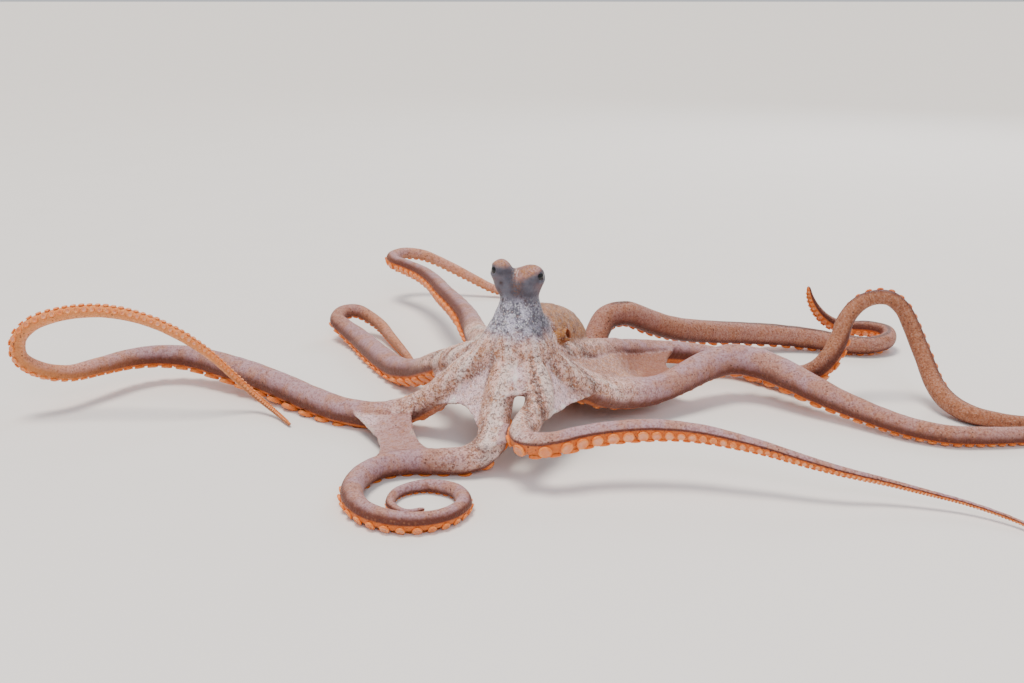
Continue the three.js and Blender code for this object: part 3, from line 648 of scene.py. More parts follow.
def web_tiles(web, thickness, spacing):
    """Places, normals and half thicknesses of the small tiles that make a web sheet."""
    lines = [LINES[name] for name in web["arms"]]
    rows = int(max(web["to"][i] - web["from"][i] for i in (0, 1)) / spacing) + 2
    across_count = 60
    across = np.linspace(0, 1, across_count)
    out = np.linspace(0, 1, rows)
    grid = np.zeros((rows, across_count, 3))
    ends = []
    for i, line in enumerate(lines):
        drawn = web["bow"] * np.sin(np.pi * across)
        start = web["from"][i] + web.get("scoop", 0) * np.sin(np.pi * across)
        lengths = start[None, :] + (web["to"][i] - drawn - start)[None, :] * out[:, None]
        place, _, oral, _, radius = line.at(lengths.ravel())
        joined = (place - oral * radius[:, None] * WEB_RISE).reshape(rows, across_count, 3)
        ends.append(joined)
        grid += joined * (1 - across if i == 0 else across)[None, :, None]
    hang = smoothstep(web["taut"], web["taut"] + 0.22, out) if "taut" in web else np.ones(rows)
    grid[..., 2] -= web["sag"] * np.sin(np.pi * across)[None, :] * hang[:, None]
    normals = unit(np.cross(np.gradient(grid, axis=0), np.gradient(grid, axis=1)) + 1e-9)
    width = np.linalg.norm(ends[1] - ends[0], axis=-1)
    from_arm = np.minimum(across, 1 - across)[None, :] * width
    # the sheet thickens towards its arms, and a little at its free edge
    fillet = 1.6 * np.exp(-np.maximum(from_arm - 5.2, 0) / 1.6)
    rim = 0.25 * smoothstep(0.9, 1.0, out)[:, None]
    halves = thickness / 2 + fillet + rim
    # fewer columns where the sheet is narrow
    keep = np.ones((rows, across_count), bool)
    for row in range(rows):
        step = max(1, int(spacing / max(width[row].mean() / across_count, 1e-3)))
        keep[row] = (np.arange(across_count) % step == 0)
        keep[row, -1] = True
    return grid[keep], normals[keep], halves[keep]


def skin_field(sizes):
    """The whole skin as a distance field."""
    step = sizes.voxel / MM
    low = np.min([line.place.min(0) for line in LINES.values()], axis=0) - GRID_MARGIN
    high = np.max([line.place.max(0) for line in LINES.values()], axis=0) + GRID_MARGIN
    low[2], high[2] = GRID_HEIGHTS
    field = Field(low, np.ceil((high - low) / step).astype(int) + 1, step)
    for line in LINES.values():
        lengths = np.arange(0, line.total - 0.6, 0.8)
        place, _, _, _, radius = line.at(lengths)
        field.add_balls(place, np.maximum(radius, 0.95), 2.4)
    for web in WEBS:
        field.add_tiles(*web_tiles(web, sizes.web_thickness / MM, WEB_TILE_STEP), WEB_TILE)

    # head, mantle and funnel, with the arms' roots flowing into them
    slices, (x, y, z) = field.block(*np.array(CORE_BOX))
    body = head_distance(x, y, z)
    from_crown = np.hypot(x - COLUMN_CENTRE[0], y - COLUMN_CENTRE[1])
    root_blend = sizes.root_blend / MM * (1 - smoothstep(26, 50, from_crown))
    for line in LINES.values():
        root = Field(np.array([x.min(), y.min(), z.min()]), body.shape, step)
        place, _, _, _, radius = line.at(np.arange(0, ROOT_LENGTH, 1.2))
        root.add_balls(place, radius, Field.FAR)
        body = blended(body, root.values, root_blend)
    cone, bore = funnel_distances(x, y, z)
    body = blended(body, mantle_distance(x, y, z), 1.8)
    body = blended(body, cone, 1.6)
    body = eye_openings(body, x, y, z, sizes.eye_radius / MM)
    merged = blended(field.values[slices], body, 2.0)
    field.values[slices] = np.maximum(merged, -bore)
    heights = field.low[2] + step * np.arange(field.values.shape[2])
    np.maximum(field.values, -heights[None, None, :].astype(np.float32), out=field.values)
    return field


def grown_skin(sizes):
    """The skin's mesh, drawn from the field."""
    field = skin_field(sizes)
    grid = openvdb.FloatGrid(Field.FAR)
    grid.copyFromArray(field.values)
    points, triangles, quads = grid.convertToPolygons(isovalue=0.0, adaptivity=0.0)
    points = points * field.step + field.low
    faces = [tuple(q) for q in quads.tolist()] + [tuple(t) for t in triangles.tolist()]
    return points, faces


def nearest_on_arms(points):
    """For each point: the arm, the length along it, the distance from its line, the radius
    there, and the angle from the sucker side."""
    tree = kdtree.KDTree(sum(len(line.length) for line in LINES.values()))
    owner = []
    for number, line in enumerate(LINES.values()):
        for i, place in enumerate(line.place):
            tree.insert(place, len(owner))
            owner.append((number, i))
    tree.balance()
    owner = np.array(owner)
    hits = owner[[tree.find(p)[1] for p in points]]
    lines = list(LINES.values())
    arm, index = hits[:, 0], hits[:, 1]
    found = {}
    for key in ("place", "tangent", "oral", "across", "radius", "length"):
        found[key] = np.array([getattr(lines[a], key)[i] for a, i in zip(arm, index)])
    off = points - found["place"]
    off -= found["tangent"] * np.einsum("ij,ij->i", off, found["tangent"])[:, None]
    gap = np.linalg.norm(off, axis=1)
    angle = np.arctan2(np.einsum("ij,ij->i", off, found["across"]),
                       np.einsum("ij,ij->i", off, found["oral"]))
    total = np.array([lines[a].total for a in arm])
    return {"arm": arm, "along": found["length"], "total": total, "gap": gap, "angle": angle,
            "radius": found["radius"], "out": off / np.maximum(gap, 1e-6)[:, None],
            "foot": points - off}


def on_arms(found, *names):
    """Which points lie nearest to one of the named arms."""
    return np.isin(found["arm"], [ARM_NAMES.index(name) for name in names])


def settle_on_arms(points, found):
    """Puts the skin of the arms' free lengths on their true section, and leaves the roots."""
    wanted = found["radius"] * section_share(found["angle"])
    free = smoothstep(*ROOT_END, found["along"])
    slack = np.abs(found["gap"] - wanted)
    close = 1 - smoothstep(1.2, 1.9, slack)
    for name, stretch in WEB_END.items():
        free = np.where(on_arms(found, name), smoothstep(*stretch, found["along"]), free)
    share = (free * close)[:, None]
    target = found["foot"] + found["out"] * wanted[:, None]
    at_tip = found["along"] >= found["total"] - 1.5
    share[at_tip] = 0
    moved = points * (1 - share) + target * share
    moved[:, 2] = np.maximum(moved[:, 2], 0)
    return moved


def lumps(points, scale, seed):
    """Smooth noise from -1 to 1 at some points in mm, with lumps of about the given size."""
    offset = Vector((seed * 17.1, seed * 5.3, seed * 9.7))
    return np.array([noise.noise(Vector(p) / scale + offset) for p in points])


def apply_modifier(piece, kind, **settings):
    select_only(piece)
    modifier = piece.modifiers.new(kind.title(), kind)
    for key, value in settings.items():
        setattr(modifier, key, value)
    bpy.ops.object.modifier_apply(modifier=modifier.name)


def finish_piece(piece, replaced=()):
    """Smooth shading, and the piece's rows in the frame's table."""
    select_only(piece)
    bpy.ops.object.shade_smooth()
    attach(piece, "root")
    if replaced:
        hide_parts(*replaced)


# ---- materials


# What every flesh shares: how far light goes into it, in metres, and how it bends light.
FLESH = {"Subsurface Scale": 0.003, "IOR": 1.38}


class Nodes:
    """The nodes of a new material. Each method adds one or a few, and gives their output."""

    def __init__(self, name):
        self.material = bpy.data.materials.new(name)
        self.material.use_nodes = True
        self.tree = self.material.node_tree
        self.tree.nodes.clear()
        self.place = self.add("ShaderNodeTexCoord", output="Object")

    def add(self, kind, inputs=None, output=0, **settings):
        return node(self.tree, kind, settings, inputs).outputs[output]

    def mark(self, name):
        """A number that the piece stores for each point."""
        return self.add("ShaderNodeAttribute", output="Fac", attribute_name=name)

    def maths(self, operation, *values):
        return self.add("ShaderNodeMath", dict(enumerate(values)), operation=operation)

    def times(self, a, b):
        return self.maths("MULTIPLY", a, b)

    def ramp(self, value, low, high, first=0.0, last=1.0):
        """A value drawn out so that low becomes the first number and high the last."""
        return self.add("ShaderNodeMapRange", {0: value, 1: low, 2: high, 3: first, 4: last},
                        interpolation_type="SMOOTHSTEP")

    def mix(self, share, a, b):
        """The colour between a and b."""
        return self.add("ShaderNodeMix", {0: share, 6: a, 7: b}, 2, data_type="RGBA")

    def layers(self, colour, *rows):
        """A colour with others laid over it in turn, from (mask, strength, colour) rows."""
        for mask, strength, other in rows:
            share = mask if strength == 1 else self.times(mask, strength)
            colour = self.mix(share, colour, other)
        return colour

    def clouds(self, size_mm, detail=3.0, rough=0.55, distortion=0.0, squash=None):
        """Noise from 0 to 1 with clouds of about the given size, longer where squash is small."""
        place = self.place
        if squash:
            place = self.add("ShaderNodeMapping", {"Vector": place, "Scale": squash})
        return self.add("ShaderNodeTexNoise", {
            "Vector": place, "Scale": 1 / (size_mm * MM), "Detail": detail, "Roughness": rough,
            "Distortion": distortion})

    def spots(self, pitch_mm, least, most):
        """Round spots, one at most in each cell, of sizes between two shares of the pitch."""
        cells = node(self.tree, "ShaderNodeTexVoronoi", {},
                     {"Vector": self.place, "Scale": 1 / (pitch_mm * MM)})
        chance = self.add("ShaderNodeSeparateColor", {0: cells.outputs["Color"]})
        size = self.maths("MULTIPLY_ADD", chance, most - least, least)
        return self.ramp(cells.outputs["Distance"], self.times(size, 0.55), size, 1.0, 0.0)

    def bump(self, strength, depth, height):
        return self.add("ShaderNodeBump",
                        {"Strength": strength, "Distance": depth, "Height": height})

    def finished(self, inputs):
        """The material, once its shader has these inputs."""
        shader = node(self.tree, "ShaderNodeBsdfPrincipled", {}, inputs)
        node(self.tree, "ShaderNodeOutputMaterial", {}, {"Surface": shader.outputs[0]})
        return self.material


def skin_material(colours):
    """Octopus skin: thin, moist and soft, with pigment spots that open and close over white.

    It gives the eye a pale grainy crown, a blue-grey head with warm caps, lilac-brown arms
    that turn warm beside the suckers, a tan mantle, and small dark spots all over.
    """
    skin = Nodes("octopus_skin")
    mix, times, maths, ramp, layers, clouds, spots = (
        skin.mix, skin.times, skin.maths, skin.ramp, skin.layers, skin.clouds, skin.spots)
    (oral, crown, web, neck, head, brow, strand, mantle, deep, span, warm, ruddy, blotch, dark,
     bore, proud, ring, cleft, shade) = map(skin.mark, (
         "oral crown web neck head brow strand mantle deep span warm ruddy blotch dark "
         "bore proud ring cleft shade").split())

    patches = clouds(11, 5, 0.6)
    mottle = clouds(3.4, 5, 0.62, 0.4)
    grains = clouds(0.85, 3, 0.62)
    fine = clouds(0.6, 3, 0.6)
    both = maths("ADD", times(grains, 0.5), times(clouds(1.7, 2, 0.5), 0.5))
    lace = times(ramp(both, 0.5, 0.62), 0.6)
    pale = maths("MAXIMUM", spots(1.15, 0.05, 0.5), lace)
    dim = ramp(both, 0.49, 0.4)
    pepper = spots(0.95, 0.0, 0.34)

    # lilac-pink backs, brown flanks whose darkness is in part painted shade, orange beside the
    # suckers
    wave = maths("ADD", oral, times(maths("SUBTRACT", mottle, 0.5), 0.3))
    flank = ramp(wave, 0.12, 0.5)
    back_only = maths("SUBTRACT", 1.0, times(flank, 0.85))
    arm = layers(
        colours.arm_back,
        (ramp(patches, 0.42, 0.6), 1, colours.arm_blush),
        (ruddy, 1, colours.arm_ruddy),
        # brown flanks, partly painted shade
        (flank, 1, colours.arm_side),
        (ramp(oral, 0.68, 0.8), 1, colours.arm_warm),
        (warm, 0.85, colours.arm_return),
        (times(pale, 0.11), back_only, colours.grain),
        (times(dim, 0.42), back_only, colours.arm_side))

    # pale and grainy, with tan clouds, painted shade in the grooves and white crests
    tent = layers(
        colours.crown,
        (ramp(mottle, 0.4, 0.6), 0.78, colours.crown_tan),
        (ramp(patches, 0.5, 0.66), 0.42, colours.crown_dark),
        (ramp(proud, 0.12, 0.8), 0.45, colours.grain),
        # painted shade where the skin lies in grooves
        (ramp(proud, -0.1, -0.6), 0.6, colours.crown_dark),
        (pale, 0.55, colours.grain),
        (dim, 0.68, colours.crown_dark),
        (pepper, 0.85, colours.speck))
    long_web = layers(
        colours.arm_blush,
        (ramp(clouds(1.5, 3, 0.6, squash=(0.22, 0.6, 1.0)), 0.4, 0.6), 1, colours.crown_tan),
        (pale, 0.4, colours.grain),
        (dim, 0.4, colours.crown_dark))
    sheet = layers(
        colours.web,
        (ramp(mottle, 0.48, 0.64), 0.5, colours.crown_tan),
        (pale, 0.5, colours.grain),
        (dim, 0.5, colours.crown_dark),
        (pepper, 0.5, colours.speck),
        (span, 0.9, long_web),
        (ramp(proud, 0.35, 0.8), 1, colours.grain))

    back = layers(
        colours.mantle,
        (ramp(mottle, 0.4, 0.62), 1, colours.mantle_dark),
        (pale, 0.22, colours.grain))
    frost = layers(
        colours.neck,
        (ramp(mottle, 0.36, 0.6), 1, colours.head),
        (pale, 0.75, colours.frost),
        (dim, 0.6, colours.head_dark),
        # painted shade on the neck's right side
        (shade, 0.6, colours.head_dark),
        (pepper, 0.5, colours.pupil))
    cheek = mix(ramp(patches, 0.4, 0.62), colours.head, colours.head_dark)
    cap = layers(
        colours.brow,
        (ramp(mottle, 0.42, 0.6), 1, colours.brow_tan),
        (pale, 0.12, colours.grain),
        (dim, 0.5, colours.crown_dark))
    streaks = times(ramp(grains, 0.4, 0.6), 0.6)
    threads = ramp(clouds(0.6, 2, 0.5, squash=(1.0, 0.4, 0.12)), 0.5, 0.6)

    # pigment spots, which the head has fewest of
    calm = maths("SUBTRACT", 1.0, times(head, 0.9))
    tans = times(spots(1.9, 0.05, 0.5), ramp(mottle, 0.35, 0.6))
    tans = times(tans, maths("ADD", 0.2, times(crown, 0.4)))
    darks = times(spots(1.7, 0.0, 0.34), ramp(patches, 0.3, 0.6))
    dots = times(spots(4.4, 0.0, 0.15), maths("ADD", times(ruddy, 0.6), 0.25))
    rare = times(ramp(patches, 0.6, 0.72), 0.4)
    broken = ramp(clouds(2.4, 5, 0.7), 0.49, 0.6)
    # real stains and rare patches, with the painted shade of the head's creases, in broken clouds
    stains_and_crease_shade = times(broken, maths("MAXIMUM", blotch, times(rare, calm)))

    colour = layers(
        arm,
        (crown, 1, mix(web, tent, sheet)),
        (mantle, 1, back),
        (neck, 1, frost),
        (head, 1, cheek),
        (brow, 1, cap),
        # painted shade in the cleft between the eye bulges, streaked by grains
        (cleft, streaks, colours.mantle_dark),
        (times(strand, threads), 0.34, colours.frost),
        # painted shade under the webs, in the long web's pocket and on the hanging web, partly the
        # web's own orange-brown
        (deep, 1, colours.deep),
        (tans, calm, colours.crown_tan),
        (times(darks, 0.85), calm, colours.speck),
        (dots, calm, colours.speck),
        # stains, and painted shade in the head's creases
        (stains_and_crease_shade, 0.85, colours.speck),
        (dark, 1, colours.speck),
        # painted shade inside the funnel's bore
        (bore, 1, colours.deep))

    # fine wrinkles across the free arms, and grains on the crown
    phase = maths("ADD", times(ring, 2 * math.pi / WRINKLE_STEP), times(mottle, 14.0))
    free = maths("SUBTRACT", 1.0, crown)
    wrinkle = times(maths("SINE", phase), times(free, 0.16))
    grain_rise = times(grains, times(calm, maths("ADD", times(crown, 1.6), 1.5)))
    relief = maths("ADD", maths("ADD", times(fine, 0.7), wrinkle), grain_rise)
    return skin.finished({
        "Base Color": colour,
        "Roughness": skin.add("ShaderNodeMapRange", {0: fine, 3: 0.36, 4: 0.6}),
        "Normal": skin.bump(0.7, 0.0006, relief),
        "Subsurface Weight": 0.12, "Subsurface Radius": (1.0, 0.45, 0.3), **FLESH})


def sucker_material(colours):
    """Sucker flesh: firm, smooth and wet. It gives the eye an orange cup with a paler face, partly
    a painted highlight.
    """
    cup = Nodes("octopus_sucker")
    body = cup.mix(cup.ramp(cup.clouds(2.2, 4), 0.42, 0.72), colours.sucker, colours.arm_return)
    patchy = cup.ramp(cup.clouds(5, 3), 0.3, 0.7)
    # pale faces in patchy strength, partly a painted highlight
    face = cup.times(cup.mark("face"), cup.maths("ADD", 0.06, cup.times(patchy, 0.5)))
    return cup.finished({
        "Base Color": cup.mix(face, body, colours.sucker_face),
        "Roughness": 0.38,
        "Normal": cup.bump(0.3, 0.0003, cup.clouds(0.7, 3)),
        "Subsurface Weight": 0.2, "Subsurface Radius": (1.0, 0.5, 0.25), **FLESH})


def eye_material(colours):
    """Eyeball: a clear wet front. It gives the eye a dark blue iris with a level dark slit."""
    eye = Nodes("octopus_eye")
    gaze = eye.add("ShaderNodeAttribute", output="Vector", attribute_name="gaze")
    parts = node(eye.tree, "ShaderNodeSeparateXYZ", {}, {0: gaze})
    sideways, upward = (eye.maths("ABSOLUTE", parts.outputs[i]) for i in (0, 1))
    slit = eye.maths("MAXIMUM", eye.maths("DIVIDE", sideways, 0.62),
                     eye.maths("DIVIDE", upward, 0.34))
    colour = eye.layers(
        colours.iris,
        (eye.ramp(eye.clouds(0.5, 4), 0.4, 0.7), 0.2, colours.sucker_face),
        (eye.ramp(upward, 0.4, 0.75), 1, colours.speck),
        (eye.ramp(slit, 1.08, 0.92), 1, colours.pupil))
    return eye.finished({"Base Color": colour, "Roughness": 0.16, "IOR": FLESH["IOR"],
                         "Coat Weight": 0.2, "Coat Roughness": 0.05})


def floor_material(colours):
    """Matt painted board. It gives the eye a plain pale ground that takes soft shadows."""
    paint = Nodes("studio_paint")
    tone = paint.mix(paint.times(paint.clouds(60, 3), 0.12), colours.floor, linear("#c9c5c0"))
    return paint.finished({"Base Color": tone, "Roughness": 0.85})


# ---- pieces


FLESH_NODES = sorted(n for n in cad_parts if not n.startswith("eye_"))


def relief_marks(piece, points):
    """How far each point stands out from, or lies in, the skin round it, from -1 to 1."""
    edges = np.zeros(len(piece.data.edges) * 2, np.int32)
    piece.data.edges.foreach_get("vertices", edges)
    first, second = edges.reshape(-1, 2).T
    count = np.bincount(edges, minlength=len(points))

    def averaged(values):
        total = np.stack([np.bincount(first, values[second, i], len(points))
                          + np.bincount(second, values[first, i], len(points))
                          for i in range(values.shape[1])], -1)
        return total / count[:, None]

    round_it = averaged(averaged(averaged(points)))
    proud = np.einsum("ij,ij->i", points - round_it, normals_of(piece))[:, None]
    return np.clip(averaged(averaged(proud))[:, 0] / 0.45, -1, 1)


def skin_marks(piece, points):
    """Numbers that the skin's material reads, for each point: where on the animal it lies."""
    found = nearest_on_arms(points)
    x, y, z = points.T
    along = found["along"]
    jitter = lumps(points, 4.5, 3)

    def on(*names):
        return on_arms(found, *names)

    def stretches(*rows):
        """Shares that rise along some arms, from (arm, start, full, share) rows."""
        shares = np.zeros(len(points))
        for name, start, full, share in rows:
            shares = np.where(on(name), share * smoothstep(start, full, along), shares)
        return shares

    # the sucker side, turned away from the side that shows only the back
    shift = sucker_turn("arm_left_1", along) * on("arm_left_1")
    shift += 0.2 * (1 - smoothstep(120, 190, along)) * on("arm_left_2")
    oral = (1 + np.cos(found["angle"] - shift)) / 2
    oral = np.where(on("arm_left_1"), oral * smoothstep(0.5, 0.74, oral), oral)
    on_arm = 1 - smoothstep(1.12, 1.5, found["gap"] / found["radius"])

    # mantle, funnel and head
    cone, bore = funnel_distances(x, y, z)
    funnel = 1 - smoothstep(0.2, 2.0, cone)
    column = (1 - smoothstep(1.5, 5, head_distance(x, y, z))) * (1 - funnel)
    mantle = np.maximum(1 - smoothstep(-0.4, 1.6, mantle_distance(x, y, z)), funnel)
    mantle = mantle * (1 - column)
    neck = column * smoothstep(49, 56, z + 2.5 * jitter)
    head = column * smoothstep(65, 72, z + 1.5 * jitter)
    cap_foot = np.where(x > 0, 77.2 + 0.5 * np.clip(x - 2.2, 0, 9), 83.6)
    brow = column * smoothstep(-1, 1.6, z + 0.8 * jitter - cap_foot)
    # painted shade down the cleft between the eye bulges
    cleft = column * hump(x, 0.9, 2.4) * smoothstep(68, 74, z) * (y < 2)
    strand = column * hump(x, 0.6, 1.1) * smoothstep(74, 78, z) * (y < 2)
    # painted shade on the neck's right side, growing towards +x
    shade = column * smoothstep(1, 12, x) * smoothstep(50, 56, z) * (1 - smoothstep(68, 74, z))

    # web and crown; the bridge between the front arms is marked as flesh
    web = (1 - on_arm) * (1 - column) * (1 - mantle)
    bridge = (np.abs(x + 5) < 12) & (y > -60) & (y < -27)
    web = np.where(bridge, web * 0.25, web)
    crown = (1 - smoothstep(42, 78, along + 6 * jitter)) * (1 - neck)
    edge = 0.2 * on("arm_left_2")
    crown = crown * (1 - 0.9 * smoothstep(0.4, 0.6, oral + edge)
                     * smoothstep(26, 46, along + 50 * edge))
    crown = np.maximum(crown, web) * (1 - mantle)

    # painted shade on the webs' undersides, in the long web's pocket and on the hanging web,
    # partly the web's own orange-brown underside
    from_crown = np.hypot(x - COLUMN_CENTRE[0], y - COLUMN_CENTRE[1])
    under = smoothstep(0.1, 0.8, -normals_of(piece)[:, 2])
    deep = under * np.clip(web + 0.6 * (1 - smoothstep(30, 60, from_crown)), 0, 1) * 0.8
    between = (web > 0.4) & on("arm_left_2", "arm_left_3") & (along > 5)
    span = between * smoothstep(10, 24, from_crown) * smoothstep(-14, -4, y)
    deep = np.maximum(deep, 0.75 * between * smoothstep(62, 84, from_crown + 8 * jitter))
    curtain = (web > 0.3) & (x < -38) & (y < 27) & (y > -70)
    patch = hump(x, -72, 9) * smoothstep(-22, 2, y)
    deep = np.maximum(deep, curtain * 0.62 * (1 - patch))

    warm = stretches(("arm_right_2", 215, 330, 1.0), ("arm_right_4", 250, 330, 0.6),
                     ("arm_right_3", 190, 250, 0.35))
    warm = warm * (1 - 0.65 * smoothstep(400, 450, along))
    ruddy = stretches(("arm_left_3", 170, 230, 0.95), ("arm_left_2", 150, 230, 0.5),
                      ("arm_left_4", 50, 110, 0.7), ("arm_right_3", 150, 220, 0.4),
                      ("arm_right_2", 390, 440, 0.9))

    # a stained root; painted shade in the creases at the foot of the eye bulges and in the hollow
    # at the neck's foot; one cheek spot
    blotch = hump(x, 10, 4.6) * (y > -38) * (y < -8) * smoothstep(16, 22, z)
    blotch = blotch * (1 - smoothstep(44, 50, z)) * (1 - 0.7 * web)
    # painted shade in the creases at the eye bulges' foot and in the hollow at the neck's foot
    fold = hump(x, 2.2 + 0.45 * (73.5 - z), 1.3) * smoothstep(61, 64, z)
    fold = fold * (1 - smoothstep(72, 75, z))
    fold += hump(np.hypot(x + 6.2, z - 67.5), 0, 2.2) + hump(np.hypot(x - 14, z - 55), 0, 2.6)
    blotch = np.maximum(blotch, np.clip(fold, 0, 1) * column * (y < 1))
    dot = hump(np.hypot(x + 6.4, z - 76.2), 0, 0.9) * column * (y < 0)

    ridge = hump(x, -0.3, 2.2) * (y < -6) * smoothstep(20, 26, z) * (1 - smoothstep(42, 50, z))
    proud = np.clip(relief_marks(piece, points) + 0.7 * ridge + 0.6 * crown_folds(points), -1, 1)
    keel = smoothstep(0.955, 0.985, found["out"] @ unit((0, -0.15, 1)))
    keel = keel * on("arm_left_4") * smoothstep(80, 110, along)
    # painted shade inside the funnel's bore
    inner = (1 - smoothstep(0.0, 0.6, bore)) * funnel
    marks = {
        "oral": oral * on_arm * (1 - column) * (1 - mantle), "crown": crown, "web": web,
        "neck": neck, "head": head, "brow": brow, "strand": strand, "mantle": mantle,
        "deep": deep, "span": span, "warm": warm * (1 - crown), "ruddy": ruddy * (1 - crown),
        "blotch": blotch, "dark": np.maximum(keel * 0.7, dot), "cleft": cleft, "shade": shade,
        "bore": inner * 0.85, "proud": proud, "ring": along}
    for name, values in marks.items():
        store(piece, name, values)


def crown_folds(points):
    """Folds that run outwards from the head's foot, from -1 in a groove to 1 on a crest."""
    x, y, z = points.T
    off_x, off_y = x - COLUMN_CENTRE[0], y - COLUMN_CENTRE[1]
    from_crown = np.hypot(off_x, off_y)
    turn = 22 / np.maximum(from_crown, 1)
    spokes = np.stack([off_x * turn, off_y * turn, 0.05 * from_crown], -1)
    gate = smoothstep(9, 17, from_crown) * (1 - smoothstep(46, 62, from_crown)) * (z < 60)
    return np.clip(2.2 * gate * lumps(spokes, 3.0, 6), -1, 1)


def living_skin(piece, points):
    """Slow lumps and folds of a soft skin, in mm along its normal."""
    found = nearest_on_arms(points)
    x, y, z = points.T
    column = 1 - smoothstep(1.5, 5, head_distance(x, y, z))
    smooth_head = column * smoothstep(62, 70, z)
    near = (1 - smoothstep(45, 80, found["along"])) * (1 - smooth_head)
    web = smoothstep(1.12, 1.5, found["gap"] / found["radius"]) * (1 - column)
    rise = near * (0.34 * lumps(points, 3.4, 1) + 0.22 * lumps(points, 1.7, 2))
    rise += near * (1 - 0.85 * web) * 0.55 * crown_folds(points)
    rise += web * 0.55 * lumps(points * (1, 1, 0.4), 8, 4)
    rise += (1 - near) * (1 - web) * found["radius"] * 0.035 * lumps(points, 7, 5)
    return points + normals_of(piece) * rise[:, None]


class OCTOPUS_OT_skin(bpy.types.Operator):
    """Grow one skin over the head, mantle, funnel, web and arms"""

    bl_idname = "octopus.skin"
    bl_label = "Skin"

    def execute(self, context):
        sizes = context.scene.octopus_sizes
        points, faces = grown_skin(sizes)
        piece = mesh_piece("skin", points, faces)
        face_outwards(piece)
        settled = settle_on_arms(points_of(piece), nearest_on_arms(points_of(piece)))
        set_points(piece, settled)
        triangles = 2 * len(piece.data.polygons)
        if triangles > SKIN_TRIANGLES:
            apply_modifier(piece, "DECIMATE", ratio=SKIN_TRIANGLES / triangles)
        apply_modifier(piece, "SMOOTH", factor=0.5, iterations=2)
        final = living_skin(piece, points_of(piece))
        final[:, 2] = np.maximum(final[:, 2], 0)
        set_points(piece, final)
        skin_marks(piece, final)
        piece.data.materials.append(skin_material(context.scene.octopus_colours))
        finish_piece(piece, FLESH_NODES)
        return {"FINISHED"}


def sucker_cup():
    """One sucker of radius 1 at the origin, opening along +Z, as points and faces."""
    deselect_all()
    bpy.ops.mesh.primitive_circle_add(vertices=12, radius=0.8, location=(0, 0, -0.35))
    cup = bpy.context.object
    bpy.ops.object.mode_set(mode="EDIT")
    bpy.ops.mesh.select_all(action="SELECT")
    for grow, rise in ((1.22, 0.4), (1.03, 0.22), (0.88, 0.18), (0.76, 0.02), (0.68, -0.4)):
        bpy.ops.mesh.extrude_region_move(TRANSFORM_OT_translate={"value": (0, 0, rise)})
        bpy.ops.transform.resize(value=(grow, grow, 1))
    bpy.ops.mesh.edge_face_add()
    bpy.ops.object.mode_set(mode="OBJECT")
    points = np.array([v.co for v in cup.data.vertices])
    faces = [list(p.vertices) for p in cup.data.polygons]
    bpy.data.objects.remove(cup)
    return points, faces


def sucker_turn(name, lengths):
    """Radians by which an arm's suckers are turned at some lengths along it."""
    return np.radians(np.interp(lengths, *zip(*SUCKER_TURN.get(name, [(0, 0.0)]))))


def sucker_spread(name, lengths):
    """The share by which an arm's suckers are larger and wider apart."""
    return np.interp(lengths, *zip(*SUCKER_SPREAD.get(name, [(0, 1.0)])))


def sucker_rows(name, line, sizes):
    """Lengths along the arm and sides of its suckers, in two rows that take turns."""
    lengths, sides = [], []
    s, side = SUCKER_ENDS[0], 1
    while s < line.total - SUCKER_ENDS[1]:
        lengths.append(s)
        sides.append(side)
        radius = np.interp(s, line.length, line.radius)
        step = 0.5 * sizes.sucker_pitch * radius * (1.22 - 0.22 * smoothstep(90, 240, s))
        s += max(step * sucker_spread(name, s), 0.7)
        side = -side
    return np.array(lengths), np.array(sides)


def on_skin(skin, foot, out, size):
    """Whether a sucker stands on the skin, rather than inside it or through a web."""
    found, near, normal, _ = skin.closest_point_on_mesh(Vector(to_frame(foot)))
    depth = (Vector(to_frame(foot)) - near).dot(normal) / MM
    return found and depth > -0.5 * size - 0.6 and normal.dot(Vector(out)) > 0.35


class OCTOPUS_OT_suckers(bpy.types.Operator):
    """Set two rows of suckers on each arm, one joined mesh for each arm"""

    bl_idname = "octopus.suckers"
    bl_label = "Suckers"

    def execute(self, context):
        sizes = context.scene.octopus_sizes
        skin = bpy.data.objects["skin"]
        cup, cup_faces = sucker_cup()
        # the pale face of each cup, partly a painted highlight
        reach = np.hypot(*cup.T[:2])
        face_mark = np.where(reach < 0.6, 0.85, 1 - smoothstep(0.55, 0.8, reach))
        face_mark = face_mark * (cup[:, 2] > 0)
        material = sucker_material(context.scene.octopus_colours)
        rng = np.random.default_rng(8)
        for name, line in LINES.items():
            lengths, sides = sucker_rows(name, line, sizes)
            place, tangent, oral, across, radius = line.at(lengths)
            angle = np.radians(SUCKER_ROW_ANGLE) * sides + sucker_turn(name, lengths)
            out = oral * np.cos(angle)[:, None] + across * np.sin(angle)[:, None]
            size = radius * sizes.sucker_share * rng.uniform(0.94, 1.06, len(lengths))
            size = size * (1.25 - 0.25 * smoothstep(90, 240, lengths))
            size = size * (0.55 + 0.45 * smoothstep(10, 40, lengths))
            size = size * sucker_spread(name, lengths)
            foot = place + out * (radius * SUCKER_FOOT)[:, None]
            side_way = np.cross(out, tangent)
            points, faces, marks = [], [], []
            for i in range(len(lengths)):
                if not on_skin(skin, foot[i], out[i], size[i]):
                    continue
                turned = (cup[:, :1] * tangent[i] + cup[:, 1:2] * side_way[i]
                          + cup[:, 2:] * out[i] * SUCKER_HEIGHT) * size[i]
                points.append(foot[i] + turned)
                faces += [[v + len(marks) * len(cup) for v in f] for f in cup_faces]
                marks.append(face_mark)
            points = np.vstack(points)
            points[:, 2] = np.maximum(points[:, 2], 0.02)
            piece = mesh_piece("suckers_" + name, points, faces)
            face_outwards(piece)
            store(piece, "face", np.concatenate(marks))
            piece.data.materials.append(material)
            finish_piece(piece)
        return {"FINISHED"}


